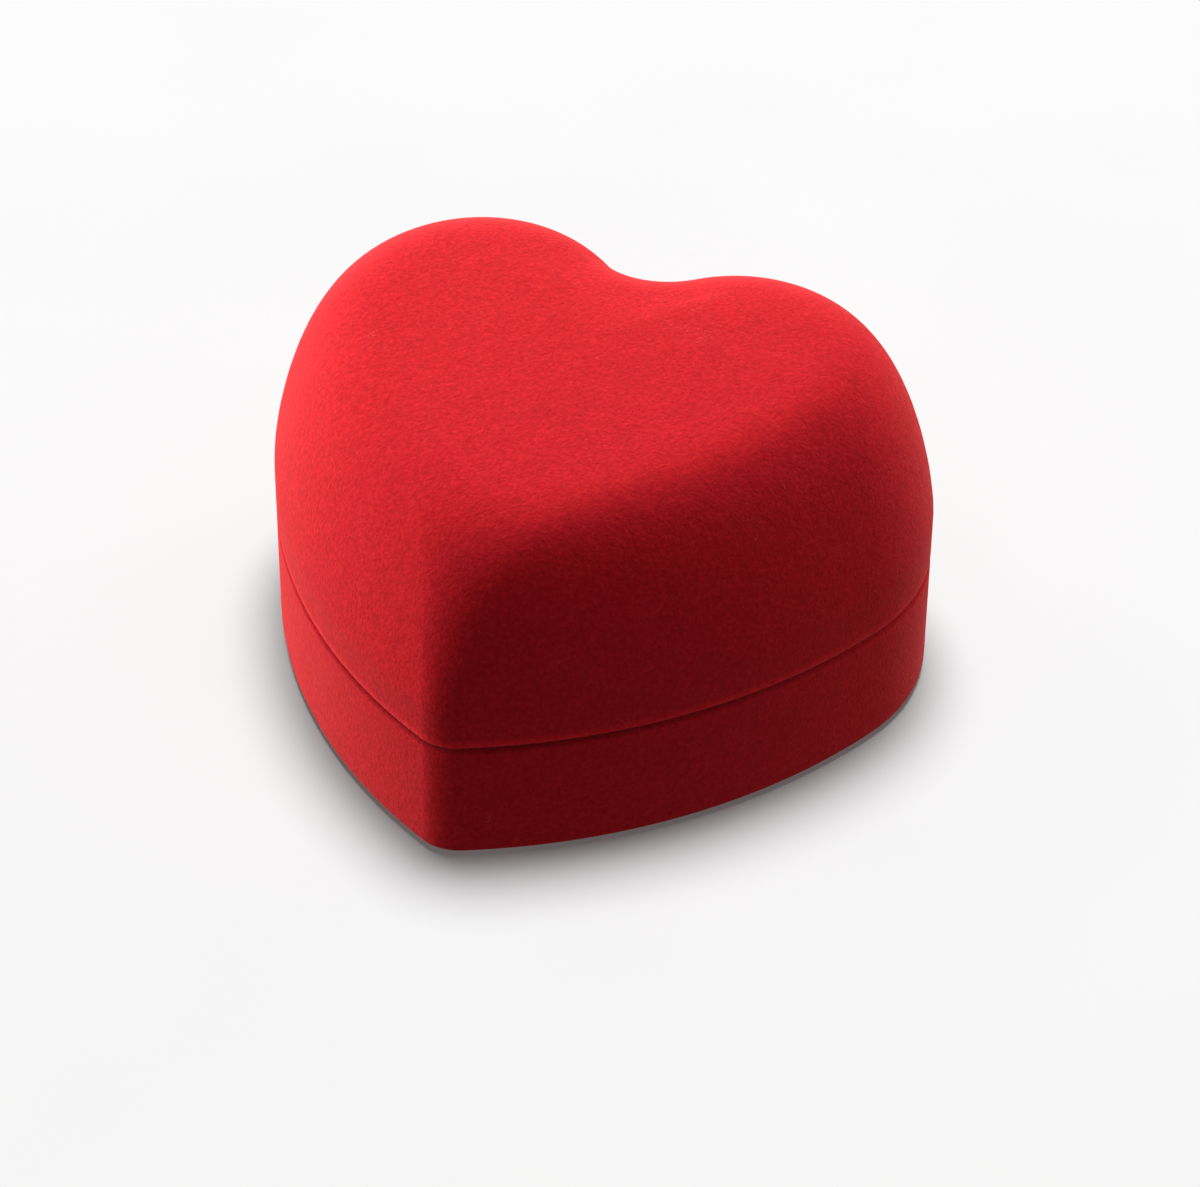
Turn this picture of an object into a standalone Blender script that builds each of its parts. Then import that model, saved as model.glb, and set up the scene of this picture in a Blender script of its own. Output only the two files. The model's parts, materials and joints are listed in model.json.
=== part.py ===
"""Heart-shaped flocked keepsake box with an 18-note wind-up musical movement.

Metres, +Z up. The heart's tip points along -Y and the lid hinges in the notch at +Y. Everything
is drawn in the heart's own coordinates, whose origin is on the heart's line of symmetry at table
height, and one root empty then centres the whole box on the world origin.
"""

import math

import bmesh
import bpy
from mathutils import Matrix

MM = 0.001
CLEARANCE = 0.3 * MM
OVERLAP = 0.1 * MM  # how far solids reach into each other before a union
BEYOND = 1.0 * MM  # how far a cutter reaches past the faces that it opens

# Heart outline: two lobes, two long side arcs, a rounded tip and a filleted notch.
HEART_WIDTH = 100.0 * MM
LOBE_RADIUS = 0.299 * HEART_WIDTH
LOBE_CENTRE_Y = 0.043 * HEART_WIDTH
LOBE_END_ANGLE = -0.400
SIDE_RADIUS = 0.923 * HEART_WIDTH
TIP_RADIUS = 6.5 * MM
TIP_GROWTH = 1.07  # growth of the tip's radius for each unit of inset, as the lid rounds over
NOTCH_RADIUS = 1.5 * MM
NOTCH_GROWTH = 1.19

# Box.
SEAM_HEIGHT = 19.1 * MM
SEAM_GAP = 0.4 * MM
WALL = 2.4 * MM
FLOOR_TOP = 3.0 * MM
FELT_POCKET_DEPTH = 1.2 * MM
FOOT_HEIGHT = 0.4 * MM  # height of the shell's edge, which the felt stands proud of
BOTTOM_ROUNDING = 1.1 * MM
RIM_ROUNDING = 0.5 * MM
FELT_INSET = 2.6 * MM

# Lid: an upright shoulder, a rounding and a low crown, all of which grow towards the back.
CROWN_HEIGHT = 53.5 * MM  # of the crown above the table, where its slope starts
SHOULDER_HEIGHT = 7.4 * MM  # above the seam
CROWN_RISE = 3.0 * MM
CROWN_SPAN = 33.0 * MM
CROWN_CENTRE_Y = -1.6 * MM
ROUNDING_REACH = 17.6 * MM
ROUNDING_SIDE_EXPONENT = 2.85
ROUNDING_TOP_EXPONENT = 1.36
LID_SLOPE = 0.293  # share of its height that the lid gains over one heart width, front to back
SLOPE_START_Y = -9.0 * MM
LINING_THICKNESS = 1.8 * MM
LINING_BOTTOM = 5.2 * MM  # above the seam

# Hinge in the notch.
HINGE_SETBACK = 1.6 * MM  # of the axis behind the lobes
KNUCKLE_RADIUS = 2.2 * MM
HINGE_PIN_RADIUS = 0.8 * MM
LID_KNUCKLE_WIDTH = 5.2 * MM
BASE_KNUCKLE_WIDTH = 2.6 * MM
HINGE_ARM_THICKNESS = 1.8 * MM
STOP_HEEL_RADIUS = 3.4 * MM
STOP_HEEL_THICKNESS = 1.2 * MM
STOP_HEEL_ANGLE = math.radians(150)
STOP_BAR_THICKNESS = 1.8 * MM

# Tray.
TRAY_DEPTH = 2.8 * MM  # of its underside below the seam
TRAY_THICKNESS = 1.5 * MM
TRAY_LIP_HEIGHT = 2.3 * MM  # above the seam
TRAY_LIP_WIDTH = 1.4 * MM
WELL_MARGIN = 1.8 * MM  # between the lip and the well
WELL_WALL = 1.2 * MM
WELL_DEPTH = 5.9 * MM
PAD_THICKNESS = 3.6 * MM
POST_RADIUS = 2.5 * MM
SIDE_POST_Y = 3.0 * MM
SIDE_POST_MARGIN = 11.0 * MM  # of its axis from the outside of the box
FRONT_POST_MARGIN = 13.2 * MM

# Movement: barrel on an upright axis, cylinder and governor on axes along X.
BARREL_X = 13.0 * MM
MOVEMENT_SETBACK = 20.671 * MM  # of the cylinder's axis from the lining in the notch
BED_THICKNESS = 1.5 * MM
BED_MARGIN = 0.8 * MM
TURNING_GAP = 0.7 * MM  # between the bed and what turns above it
BARREL_RADIUS = 11.5 * MM
BARREL_WALL = 1.0 * MM
BARREL_HEIGHT = 5.9 * MM
ARBOR_RADIUS = 1.5 * MM
ARBOR_COLLAR = 0.8 * MM
SPRING_TURNS = 5
SPRING_THICKNESS = 0.35 * MM
SPRING_INSET = 0.5 * MM  # of its edges from the barrel's mouth and floor
CROWN_TEETH = 40
CROWN_MODULE = 0.54 * MM
CROWN_TOOTH_HEIGHT = 0.85 * MM
CROWN_TOOTH_ABOVE = 0.38 * MM  # above the pitch plane
CROWN_TOOTH_LENGTH = 1.6 * MM
CROWN_DISC_THICKNESS = 0.6 * MM
DRIVE_TEETH = 12
DRIVE_WIDTH = 1.4 * MM
CYLINDER_RADIUS = 6.5 * MM
CYLINDER_WALL = 1.1 * MM
CYLINDER_RIGHT = -0.5 * MM
CYLINDER_END = 0.1 * MM  # of plain cylinder beyond the outer notes
CAP_THICKNESS = 1.2 * MM
CAP_INSET = 0.2 * MM
NOTES = 18
NOTE_PITCH = 1.1 * MM
SONG_STEPS = 36
PIN_HEIGHT = 0.8 * MM
PIN_RADIUS = 0.25 * MM
CYLINDER_ARBOR_RADIUS = 1.0 * MM
GEAR_MODULE = 0.4 * MM
GEAR_TEETH = 32
GEAR_WIDTH = 1.2 * MM
PINION_TEETH = 8
WHEEL_MODULE = 0.5 * MM
WHEEL_TEETH = 24
WHEEL_WIDTH = 1.5 * MM
TOOTH_ROOT = 0.45 * MM  # below the pitch circle
TOOTH_TIP = 0.3 * MM
DRIVE_ROOT = 0.55 * MM
WHEEL_TOOTH_TIP = 0.2 * MM
GOVERNOR_ARBOR_RADIUS = 0.65 * MM
WORM_RADIUS = 1.6 * MM
WORM_WIRE_RADIUS = 0.35 * MM
WORM_CORE_RADIUS = 1.2 * MM
WORM_TURNS = 3.5
SPINDLE_RADIUS = 0.6 * MM
FLY_RADIUS = 3.5 * MM
FLY_HEIGHT = 1.4 * MM
FLY_THICKNESS = 0.5 * MM
FLY_HUB_WALL = 0.6 * MM
PLATE_THICKNESS = 1.2 * MM
GEAR_GAP = 0.8 * MM  # between the turning pieces and the plates beside them
CAGE_ARM_HEIGHT = 4.2 * MM  # above the governor's axis
BRIDGE_WIDTH = 6.0 * MM
BRIDGE_THICKNESS = 1.6 * MM
BRIDGE_LEG_RADIUS = 2.4 * MM
BRIDGE_GAP = 0.9 * MM  # above the crown wheel's teeth
BEARING_HALF = 2.4 * MM
BEARING_DEPTH = 3.0 * MM
COMB_THICKNESS = 0.8 * MM
COMB_TOOTH_WIDTH = 0.8 * MM
COMB_LONGEST = 10.1 * MM
COMB_SHORTEST = 7.0 * MM
COMB_BODY_DEPTH = 5.8 * MM
COMB_END = 1.2 * MM  # of plain comb beyond the outer teeth
COMB_TIP_CLEARANCE = 0.25 * MM
ANVIL_MARGIN = 0.4 * MM
COMB_SCREW_INSET = 3.0 * MM  # from the ends of the cylinder

# Winding key in its round recess.
RECESS_RADIUS = 15.5 * MM
RECESS_WALL = 1.6 * MM
KEY_LENGTH = 24.0 * MM
KEY_THICKNESS = 3.0 * MM
KEY_WING_HEIGHT = 5.0 * MM
KEY_BOTTOM = 1.7 * MM
KEY_HUB_RADIUS = 2.9 * MM
KEY_HUB_HEIGHT = 6.5 * MM
KEY_BORE_DEPTH = 3.4 * MM
KEY_HEADROOM = 0.6 * MM

# Movement cover.
COVER_WALL = 1.2 * MM
COVER_HEADROOM = 0.9 * MM
COVER_SIDE_GAP = 1.3 * MM
COVER_CORNER = 3.0 * MM

# Stop rod, which the closed lid holds down beside the fly.
STOP_Y = 12.0 * MM
STOP_MARGIN = 9.0 * MM  # of the rod from the outside of the box
STOP_RADIUS = 0.7 * MM
STOP_ARM_RADIUS = 0.55 * MM
STOP_TRAVEL = 1.5 * MM
STOP_TAB_BOTTOM = 3.0 * MM  # above the seam
STOP_TAB_THICKNESS = 1.6 * MM
STOP_TAB_WIDTH = 4.0 * MM
STOP_PAD_SIZE = (2.2 * MM, 2.4 * MM, 1.0 * MM)

# Screws: head radius, head height, shank radius.
LARGE_SCREW = (1.9 * MM, 1.1 * MM, 0.9 * MM)
SMALL_SCREW = (1.2 * MM, 0.8 * MM, 0.6 * MM)
BED_SCREW_OFFSETS = (  # y is from the cylinder's axis
    (22.0 * MM, -20.0 * MM),
    (-26.0 * MM, -20.0 * MM),
    (-12.0 * MM, 15.5 * MM),
)
BOSS_RADIUS = 3.0 * MM
SCREW_BITE = 5.5 * MM  # of a large screw below the face that it holds down

# Heights that follow from those above, from the table up.
KEY_HUB_TOP = KEY_BOTTOM + KEY_HUB_HEIGHT
RECESS_CEILING = KEY_HUB_TOP + KEY_HEADROOM
RECESS_TOP = RECESS_CEILING + RECESS_WALL
BED_BOTTOM = RECESS_TOP + 0.5 * MM
BED_TOP = BED_BOTTOM + BED_THICKNESS
BARREL_BOTTOM = BED_TOP + TURNING_GAP
BARREL_TOP = BARREL_BOTTOM + BARREL_HEIGHT
CROWN_PITCH_RADIUS = CROWN_MODULE * CROWN_TEETH / 2
DRIVE_PITCH_RADIUS = CROWN_MODULE * DRIVE_TEETH / 2
CROWN_DISC_TOP = BARREL_TOP + CLEARANCE + CROWN_DISC_THICKNESS
CROWN_TOOTH_TOP = CROWN_DISC_TOP + CROWN_TOOTH_HEIGHT
CROWN_PITCH_Z = CROWN_TOOTH_TOP - CROWN_TOOTH_ABOVE
AXIS_Z = CROWN_PITCH_Z + DRIVE_PITCH_RADIUS
BRIDGE_BOTTOM = CROWN_TOOTH_TOP + BRIDGE_GAP
BRIDGE_TOP = BRIDGE_BOTTOM + BRIDGE_THICKNESS
COMB_Z = AXIS_Z - COMB_THICKNESS / 2
COVER_TOP = AXIS_Z + CYLINDER_RADIUS + PIN_HEIGHT + COVER_HEADROOM + COVER_WALL
TRAY_BOTTOM = SEAM_HEIGHT - TRAY_DEPTH
TRAY_TOP = TRAY_BOTTOM + TRAY_THICKNESS
WELL_FLOOR = TRAY_TOP - WELL_DEPTH
FLY_BOTTOM = BED_TOP + TURNING_GAP
FLY_TOP = FLY_BOTTOM + FLY_HEIGHT
STOP_ARM_Z = FLY_BOTTOM + FLY_HEIGHT / 2

# Places that follow from those above, in plan.
LOBE_X = HEART_WIDTH / 2 - LOBE_RADIUS
LOBE_BACK = LOBE_CENTRE_Y + LOBE_RADIUS
LINING_INSET = WALL + CLEARANCE + LINING_THICKNESS
NOTCH_FILLET = NOTCH_RADIUS + NOTCH_GROWTH * LINING_INSET
NOTCH_CENTRE_Y = LOBE_CENTRE_Y + math.sqrt((LOBE_RADIUS - LINING_INSET + NOTCH_FILLET) ** 2 - LOBE_X**2)
AXIS_Y = NOTCH_CENTRE_Y - NOTCH_FILLET - MOVEMENT_SETBACK
BED_SCREWS = tuple((x, AXIS_Y + y) for x, y in BED_SCREW_OFFSETS)
HINGE_Y = LOBE_BACK + HINGE_SETBACK
CYLINDER_LENGTH = NOTES * NOTE_PITCH + 2 * CYLINDER_END
CYLINDER_LEFT = CYLINDER_RIGHT - CYLINDER_LENGTH
GEAR_X = CYLINDER_LEFT - GEAR_GAP - GEAR_WIDTH
GEAR_RADIUS = GEAR_MODULE * GEAR_TEETH / 2
PINION_RADIUS = GEAR_MODULE * PINION_TEETH / 2
GOVERNOR_Y = AXIS_Y + GEAR_RADIUS + PINION_RADIUS
SIDE_PLATE_X = GEAR_X - GEAR_GAP - PLATE_THICKNESS
SIDE_PLATE_INNER = SIDE_PLATE_X + PLATE_THICKNESS
WHEEL_RADIUS = WHEEL_MODULE * WHEEL_TEETH / 2
WHEEL_X = SIDE_PLATE_X - GEAR_GAP - WHEEL_WIDTH
CAGE_X = WHEEL_X - GEAR_GAP - PLATE_THICKNESS
CAGE_INNER = CAGE_X + PLATE_THICKNESS
WORM_X = WHEEL_X + WHEEL_WIDTH / 2
WORM_Y = GOVERNOR_Y + WHEEL_RADIUS + WORM_RADIUS
WORM_LEAD = math.pi * WHEEL_MODULE
COMB_TIP_Y = AXIS_Y - CYLINDER_RADIUS - PIN_HEIGHT - COMB_TIP_CLEARANCE
COMB_BODY_BACK = COMB_TIP_Y - COMB_LONGEST
COMB_BODY_FRONT = COMB_BODY_BACK - COMB_BODY_DEPTH
COVER_LEFT = CAGE_X - COVER_SIDE_GAP - COVER_WALL
COVER_RIGHT = BARREL_X + BARREL_RADIUS + COVER_SIDE_GAP + COVER_WALL
COVER_FRONT = COMB_BODY_FRONT - COVER_SIDE_GAP - COVER_WALL
COVER_BACK = WORM_Y + BEARING_HALF + COVER_WALL + CLEARANCE
WELL_BACK = COVER_FRONT - 2 * WELL_WALL
BRIDGE_LEG_OFFSET = BARREL_RADIUS + BRIDGE_LEG_RADIUS + TURNING_GAP
LARGE_HOLE = LARGE_SCREW[2] + CLEARANCE
SMALL_HOLE = SMALL_SCREW[2] + CLEARANCE
SIDE_PLATE_SCREW = (SIDE_PLATE_INNER + 3.4 * MM, AXIS_Y)
CAGE_SCREW = (CAGE_INNER + 1.6 * MM, GOVERNOR_Y - 2 * MM)
COMB_SCREW_Y = COMB_BODY_FRONT + COMB_BODY_DEPTH / 2
COMB_SCREWS = tuple(
    (x, COMB_SCREW_Y) for x in (CYLINDER_LEFT + COMB_SCREW_INSET, CYLINDER_RIGHT - COMB_SCREW_INSET)
)
STOP_X = STOP_MARGIN - LOBE_X - math.sqrt(LOBE_RADIUS**2 - (STOP_Y - LOBE_CENTRE_Y) ** 2)


def remove_everything():
    for obj in list(bpy.data.objects):
        bpy.data.objects.remove(obj, do_unlink=True)


remove_everything()
CORNER_STEPS = 4
CROWN_SHARES = (0.66, 0.33)  # sizes of the crown's inner sections
ROUND_SIDES = 20
SPRING_STEPS = 16  # to each turn
THREAD_STEPS = 16
SHARP_ANGLE_DEGREES = 35
PARTS = bpy.data.collections.new("heart_music_box")
CUTTERS = bpy.data.collections.new("cutters")
bpy.context.scene.collection.children.link(PARTS)
bpy.context.scene.collection.children.link(CUTTERS)


def make_empty(name, location, parent=None):
    empty = bpy.data.objects.new(name, None)
    empty.empty_display_size = 5 * MM
    empty.location = location
    empty.parent = parent
    PARTS.objects.link(empty)
    return empty


# ---------------------------------------------------------------- heart outline


def arc(centre, radius, start, end, steps):
    """Points along an arc, without its first one."""
    angles = [start + (end - start) * i / steps for i in range(1, steps + 1)]
    return [(centre[0] + radius * math.cos(a), centre[1] + radius * math.sin(a)) for a in angles]


def heart(inset=0.0):
    """The heart's outline, moved in by inset, counter-clockwise from the notch."""
    lobe = (LOBE_X, LOBE_CENTRE_Y)
    lobe_radius = LOBE_RADIUS - inset
    notch_radius = NOTCH_RADIUS + NOTCH_GROWTH * inset
    notch = (0.0, lobe[1] + math.sqrt((lobe_radius + notch_radius) ** 2 - lobe[0] ** 2))
    lobe_start = math.atan2(notch[1] - lobe[1], -lobe[0])

    reach = LOBE_RADIUS - SIDE_RADIUS
    side = (lobe[0] + reach * math.cos(LOBE_END_ANGLE), lobe[1] + reach * math.sin(LOBE_END_ANGLE))
    side_radius = SIDE_RADIUS - inset
    tip_radius = TIP_RADIUS + TIP_GROWTH * inset
    tip = (0.0, side[1] - math.sqrt((side_radius - tip_radius) ** 2 - side[0] ** 2))
    side_end = math.atan2(tip[1] - side[1], -side[0])

    right = [(0.0, notch[1] - notch_radius)]
    right += arc(notch, notch_radius, -math.pi / 2, lobe_start - math.pi, 3)
    right += arc(lobe, lobe_radius, lobe_start, LOBE_END_ANGLE, 13)
    right += arc(side, side_radius, LOBE_END_ANGLE, side_end, 7)
    right += arc(tip, tip_radius, side_end, -math.pi / 2, 3)
    left = [(-x, y) for x, y in right[1:-1]]
    return (right + left[::-1])[::-1]


def in_front_of(outline, limit):
    """The part of a closed outline with y below limit."""
    kept = []
    for (x0, y0), (x1, y1) in zip(outline, outline[1:] + outline[:1]):
        if y0 < limit:
            kept.append((x0, y0))
        if (y0 < limit) != (y1 < limit):
            kept.append((x0 + (x1 - x0) * (limit - y0) / (y1 - y0), limit))
    return kept


def circle(radius, x=0.0, y=0.0, sides=ROUND_SIDES):
    return arc((x, y), radius, 0.0, 2 * math.pi, sides)


def rounded_rectangle(left, right, front, back, radius):
    corners = ((right, back, 0), (left, back, 1), (left, front, 2), (right, front, 3))
    points = []
    for x, y, quarter in corners:
        centre_x = x - radius if quarter in (0, 3) else x + radius
        centre_y = y - radius if quarter in (0, 1) else y + radius
        start = (quarter - 1 / CORNER_STEPS) * math.pi / 2
        points += arc((centre_x, centre_y), radius, start, (quarter + 1) * math.pi / 2, CORNER_STEPS + 1)
    return points


def sloped(section):
    """The section with its height above the seam growing towards the back."""
    growth = [1 + LID_SLOPE * (y - SLOPE_START_Y) / HEART_WIDTH for _, y, _ in section]
    return [(x, y, SEAM_HEIGHT + (z - SEAM_HEIGHT) * g) for (x, y, z), g in zip(section, growth)]


def dome(inset, bottom, steps):
    """Heart sections of the lid's surface moved in by inset, from the height bottom up to the top."""
    shoulder = SEAM_HEIGHT + SHOULDER_HEIGHT
    rise = CROWN_HEIGHT - shoulder - CROWN_RISE - inset
    reach = ROUNDING_REACH - inset
    span = CROWN_SPAN - inset

    def crowned(share):
        return CROWN_RISE * (1 - (1 - share) ** 2)

    sections = [level(heart(inset), bottom)]
    for step in range(steps + 1):
        angle = step / steps * math.pi / 2
        closed = 1 - max(math.cos(angle), 0) ** (2 / ROUNDING_SIDE_EXPONENT)
        risen = rise * math.sin(angle) ** (2 / ROUNDING_TOP_EXPONENT)
        z = shoulder + risen + crowned(reach * closed / span)
        sections.append(level(heart(inset + reach * closed), z))
    outline = heart(inset + reach)
    edge = reach / span
    for share in CROWN_SHARES:
        z = shoulder + rise + crowned(1 - (1 - edge) * share)
        scaled = [(x * share, CROWN_CENTRE_Y + (y - CROWN_CENTRE_Y) * share) for x, y in outline]
        sections.append(level(scaled, z))
    return [sloped(section) for section in sections]


# ---------------------------------------------------------------- modelling helpers


def material(name, colour, roughness, metallic=0.0):
    made = bpy.data.materials.new(name)
    made.use_nodes = True
    shader = made.node_tree.nodes["Principled BSDF"]
    shader.inputs["Base Color"].default_value = (*colour, 1)
    shader.inputs["Roughness"].default_value = roughness
    shader.inputs["Metallic"].default_value = metallic
    return made


def add_object(name, mesh, collection=PARTS):
    obj = bpy.data.objects.new(name, mesh)
    collection.objects.link(obj)
    return obj


def mesh_from(name, build):
    """A mesh that the function build fills through bmesh."""
    mesh = bpy.data.meshes.new(name)
    bm = bmesh.new()
    build(bm)
    bmesh.ops.recalc_face_normals(bm, faces=bm.faces)
    bm.to_mesh(mesh)
    bm.free()
    return mesh


def loft(name, sections):
    """A closed solid through sections of equal point counts, capped at both ends."""

    def build(bm):
        rings = [[bm.verts.new(point) for point in section] for section in sections]
        for low, high in zip(rings, rings[1:]):
            for i in range(len(low)):
                j = (i + 1) % len(low)
                bm.faces.new((low[i], low[j], high[j], high[i]))
        bm.faces.new(rings[0])
        bm.faces.new(rings[-1])
        bmesh.ops.triangulate(bm, faces=bm.faces)

    return add_object(name, mesh_from(name, build))


def level(outline, z):
    return [(x, y, z) for x, y in outline]


def plate(name, outlines, bottom, top):
    """A flat outline, with any holes as further outlines, extruded from bottom to top."""
    curve = bpy.data.curves.new(name, "CURVE")
    curve.dimensions = "2D"
    curve.fill_mode = "BOTH"
    curve.extrude = (top - bottom) / 2
    for outline in outlines:
        spline = curve.splines.new("POLY")
        spline.points.add(len(outline) - 1)
        for point, (x, y) in zip(spline.points, outline):
            point.co = (x, y, 0, 1)
        spline.use_cyclic_u = True
    solid = mesh_object(name, curve)
    solid.data.transform(Matrix.Translation((0, 0, (bottom + top) / 2)))
    return solid


def mesh_object(name, curve):
    """The solid that a curve makes, as a mesh with its caps sewn on. The curve is used up."""
    drawn = add_object(name + "_curve", curve)
    bpy.context.view_layer.update()
    mesh = bpy.data.meshes.new_from_object(drawn.evaluated_get(bpy.context.evaluated_depsgraph_get()))
    bpy.data.objects.remove(drawn)
    bpy.data.curves.remove(curve)
    bm = bmesh.new()
    bm.from_mesh(mesh)
    bmesh.ops.remove_doubles(bm, verts=bm.verts, dist=0.0001 * MM)
    bmesh.ops.recalc_face_normals(bm, faces=bm.faces)
    bm.to_mesh(mesh)
    bm.free()
    mesh.name = name
    return add_object(name, mesh)


def block(name, low, high):
    def build(bm):
        bmesh.ops.create_cube(bm, size=1)
        size = [b - a for a, b in zip(low, high)]
        centre = [(a + b) / 2 for a, b in zip(low, high)]
        placed = Matrix.Translation(centre) @ Matrix.Diagonal((*size, 1))
        bmesh.ops.transform(bm, matrix=placed, verts=bm.verts)

    return add_object(name, mesh_from(name, build))


def rod(name, radius, x, y, bottom, top, sides=ROUND_SIDES):
    """An upright cylinder."""

    def build(bm):
        bmesh.ops.create_cone(
            bm, cap_ends=True, segments=sides, radius1=radius, radius2=radius, depth=top - bottom
        )
        bmesh.ops.translate(bm, vec=(x, y, (bottom + top) / 2), verts=bm.verts)

    return add_object(name, mesh_from(name, build))


def lie_along_x(obj, y, z, x=0.0):
    """Turns a solid made about the Z axis so that its axis lies along X, through y and z."""
    obj.data.transform(Matrix.Translation((x, y, z)) @ Matrix.Rotation(math.pi / 2, 4, "Y"))
    return obj


def cross_rod(name, radius, left, right, y, z, sides=ROUND_SIDES):
    """A cylinder along X."""
    return lie_along_x(rod(name, radius, 0, 0, left, right, sides), y, z)


def turned(name, profile, x, y, sides=32):
    """A solid of revolution about an upright axis. The profile runs from the top down the outer side."""
    mesh = bpy.data.meshes.new(name)
    closed = profile[0][0] > 0
    edges = [(i, i + 1) for i in range(len(profile) - 1)]
    if closed:
        edges.append((len(profile) - 1, 0))
    mesh.from_pydata([(radius, 0, z) for radius, z in profile], edges, [])
    obj = add_object(name, mesh)
    obj.location = (x, y, 0)
    screw = obj.modifiers.new("turn", "SCREW")
    screw.steps = sides
    screw.render_steps = sides
    screw.use_merge_vertices = True
    screw.merge_threshold = 0.001 * MM
    return obj


def combine(target, tools, operation):
    """Joins tools to target, or cuts them out of it, with one Boolean modifier for each."""
    for tool in tools:
        PARTS.objects.unlink(tool)
        CUTTERS.objects.link(tool)
        tool.hide_render = True
        tool.display_type = "WIRE"
        boolean = target.modifiers.new(operation.lower(), "BOOLEAN")
        boolean.operation = operation
        boolean.solver = "EXACT"
        boolean.object = tool
    return target


def join(target, *tools):
    return combine(target, tools, "UNION")


def cut(target, *tools):
    return combine(target, tools, "DIFFERENCE")


def finish(objects, surface):
    """Gives the objects one material and smooth shading between sharp edges, and returns them."""
    for obj in objects:
        obj.data.materials.clear()
        obj.data.materials.append(surface)
        obj.data.shade_smooth()
        obj.data.set_sharp_from_angle(angle=math.radians(SHARP_ANGLE_DEGREES))
    return objects


def gear_outline(teeth, root, tip, root_share, tip_share, phase=0.0):
    """Straight-flanked teeth, whose widths are shares of the tooth pitch, the first at angle phase."""
    pitch = 2 * math.pi / teeth
    points = []
    for tooth in range(teeth):
        middle = phase + tooth * pitch
        for radius, offset in (
            (root, -root_share / 2),
            (tip, -tip_share / 2),
            (tip, tip_share / 2),
            (root, root_share / 2),
        ):
            angle = middle + offset * pitch
            points.append((radius * math.cos(angle), radius * math.sin(angle)))
    return points


def slotted_screw(name, size, x, y, seat, bottom):
    head_radius, head_height, shank_radius = size
    top = seat + CLEARANCE + head_height
    profile = (
        (0, top),
        (head_radius, top),
        (head_radius, seat + CLEARANCE),
        (shank_radius, seat + CLEARANCE),
        (shank_radius, bottom),
        (0, bottom),
    )
    screw = turned(name, profile, x, y, sides=12)
    half_slot = head_radius * 0.13
    depth = head_height * 0.4
    slot = block(
        name + "_slot",
        (x - 2 * head_radius, y - half_slot, top - depth),
        (x + 2 * head_radius, y + half_slot, top + depth),
    )
    return cut(screw, slot)


# ---------------------------------------------------------------- box


def make_base_shell():
    rim = SEAM_HEIGHT - SEAM_GAP / 2
    shell = loft(
        "base_shell",
        [
            level(heart(BOTTOM_ROUNDING), FOOT_HEIGHT),
            level(heart(BOTTOM_ROUNDING * 0.3), FOOT_HEIGHT + BOTTOM_ROUNDING * 0.3),
            level(heart(), FOOT_HEIGHT + BOTTOM_ROUNDING),
            level(heart(), rim - RIM_ROUNDING),
            level(heart(RIM_ROUNDING * 0.6), rim),
            level(heart(WALL), rim),
            level(heart(WALL), FLOOR_TOP),
        ],
    )
    root = FLOOR_TOP - OVERLAP
    tray_seat = TRAY_BOTTOM - CLEARANCE
    well_seat = WELL_FLOOR - WELL_WALL - CLEARANCE
    side_x = HEART_WIDTH / 2 - SIDE_POST_MARGIN
    front_y = min(y for _, y in heart()) + FRONT_POST_MARGIN
    recess_outside = RECESS_RADIUS + RECESS_WALL
    boss_top = BED_BOTTOM - CLEARANCE
    join(
        shell,
        rod("recess_wall", recess_outside, BARREL_X, AXIS_Y, FELT_POCKET_DEPTH + OVERLAP, RECESS_TOP, 40),
        *[rod(f"boss_{i}", BOSS_RADIUS, x, y, root, boss_top, 16) for i, (x, y) in enumerate(BED_SCREWS)],
        rod("post_right", POST_RADIUS, side_x, SIDE_POST_Y, root, tray_seat, 16),
        rod("post_left", POST_RADIUS, -side_x, SIDE_POST_Y, root, tray_seat, 16),
        rod("post_front", POST_RADIUS, 0, front_y, root, well_seat, 16),
        rod("rod_guide", STOP_RADIUS * 3, STOP_X, STOP_Y, root, BED_TOP + CLEARANCE, 16),
        *hinge_lugs(),
    )
    arbor_hole = ARBOR_RADIUS + CLEARANCE
    rod_bore = STOP_RADIUS + CLEARANCE
    return cut(
        shell,
        rod("recess", RECESS_RADIUS, BARREL_X, AXIS_Y, -BEYOND, RECESS_CEILING, 40),
        rod("recess_arbor_hole", arbor_hole, BARREL_X, AXIS_Y, RECESS_CEILING - OVERLAP, BED_TOP),
        plate("felt_pocket", [heart(FELT_INSET)], -BEYOND, FELT_POCKET_DEPTH),
        rod("rod_guide_bore", rod_bore, STOP_X, STOP_Y, FLOOR_TOP + BEYOND, BED_TOP + BEYOND, 16),
        *[
            rod(f"boss_hole_{i}", LARGE_HOLE, x, y, BED_TOP - SCREW_BITE - 2 * BEYOND, BED_TOP, 12)
            for i, (x, y) in enumerate(BED_SCREWS)
        ],
        hinge_bore("base_hinge_bore"),
    )


def hinge_bore(name):
    reach = LID_KNUCKLE_WIDTH / 2 + BASE_KNUCKLE_WIDTH + BEYOND
    return cross_rod(name, HINGE_PIN_RADIUS + CLEARANCE, -reach, reach, HINGE_Y, SEAM_HEIGHT)


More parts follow.
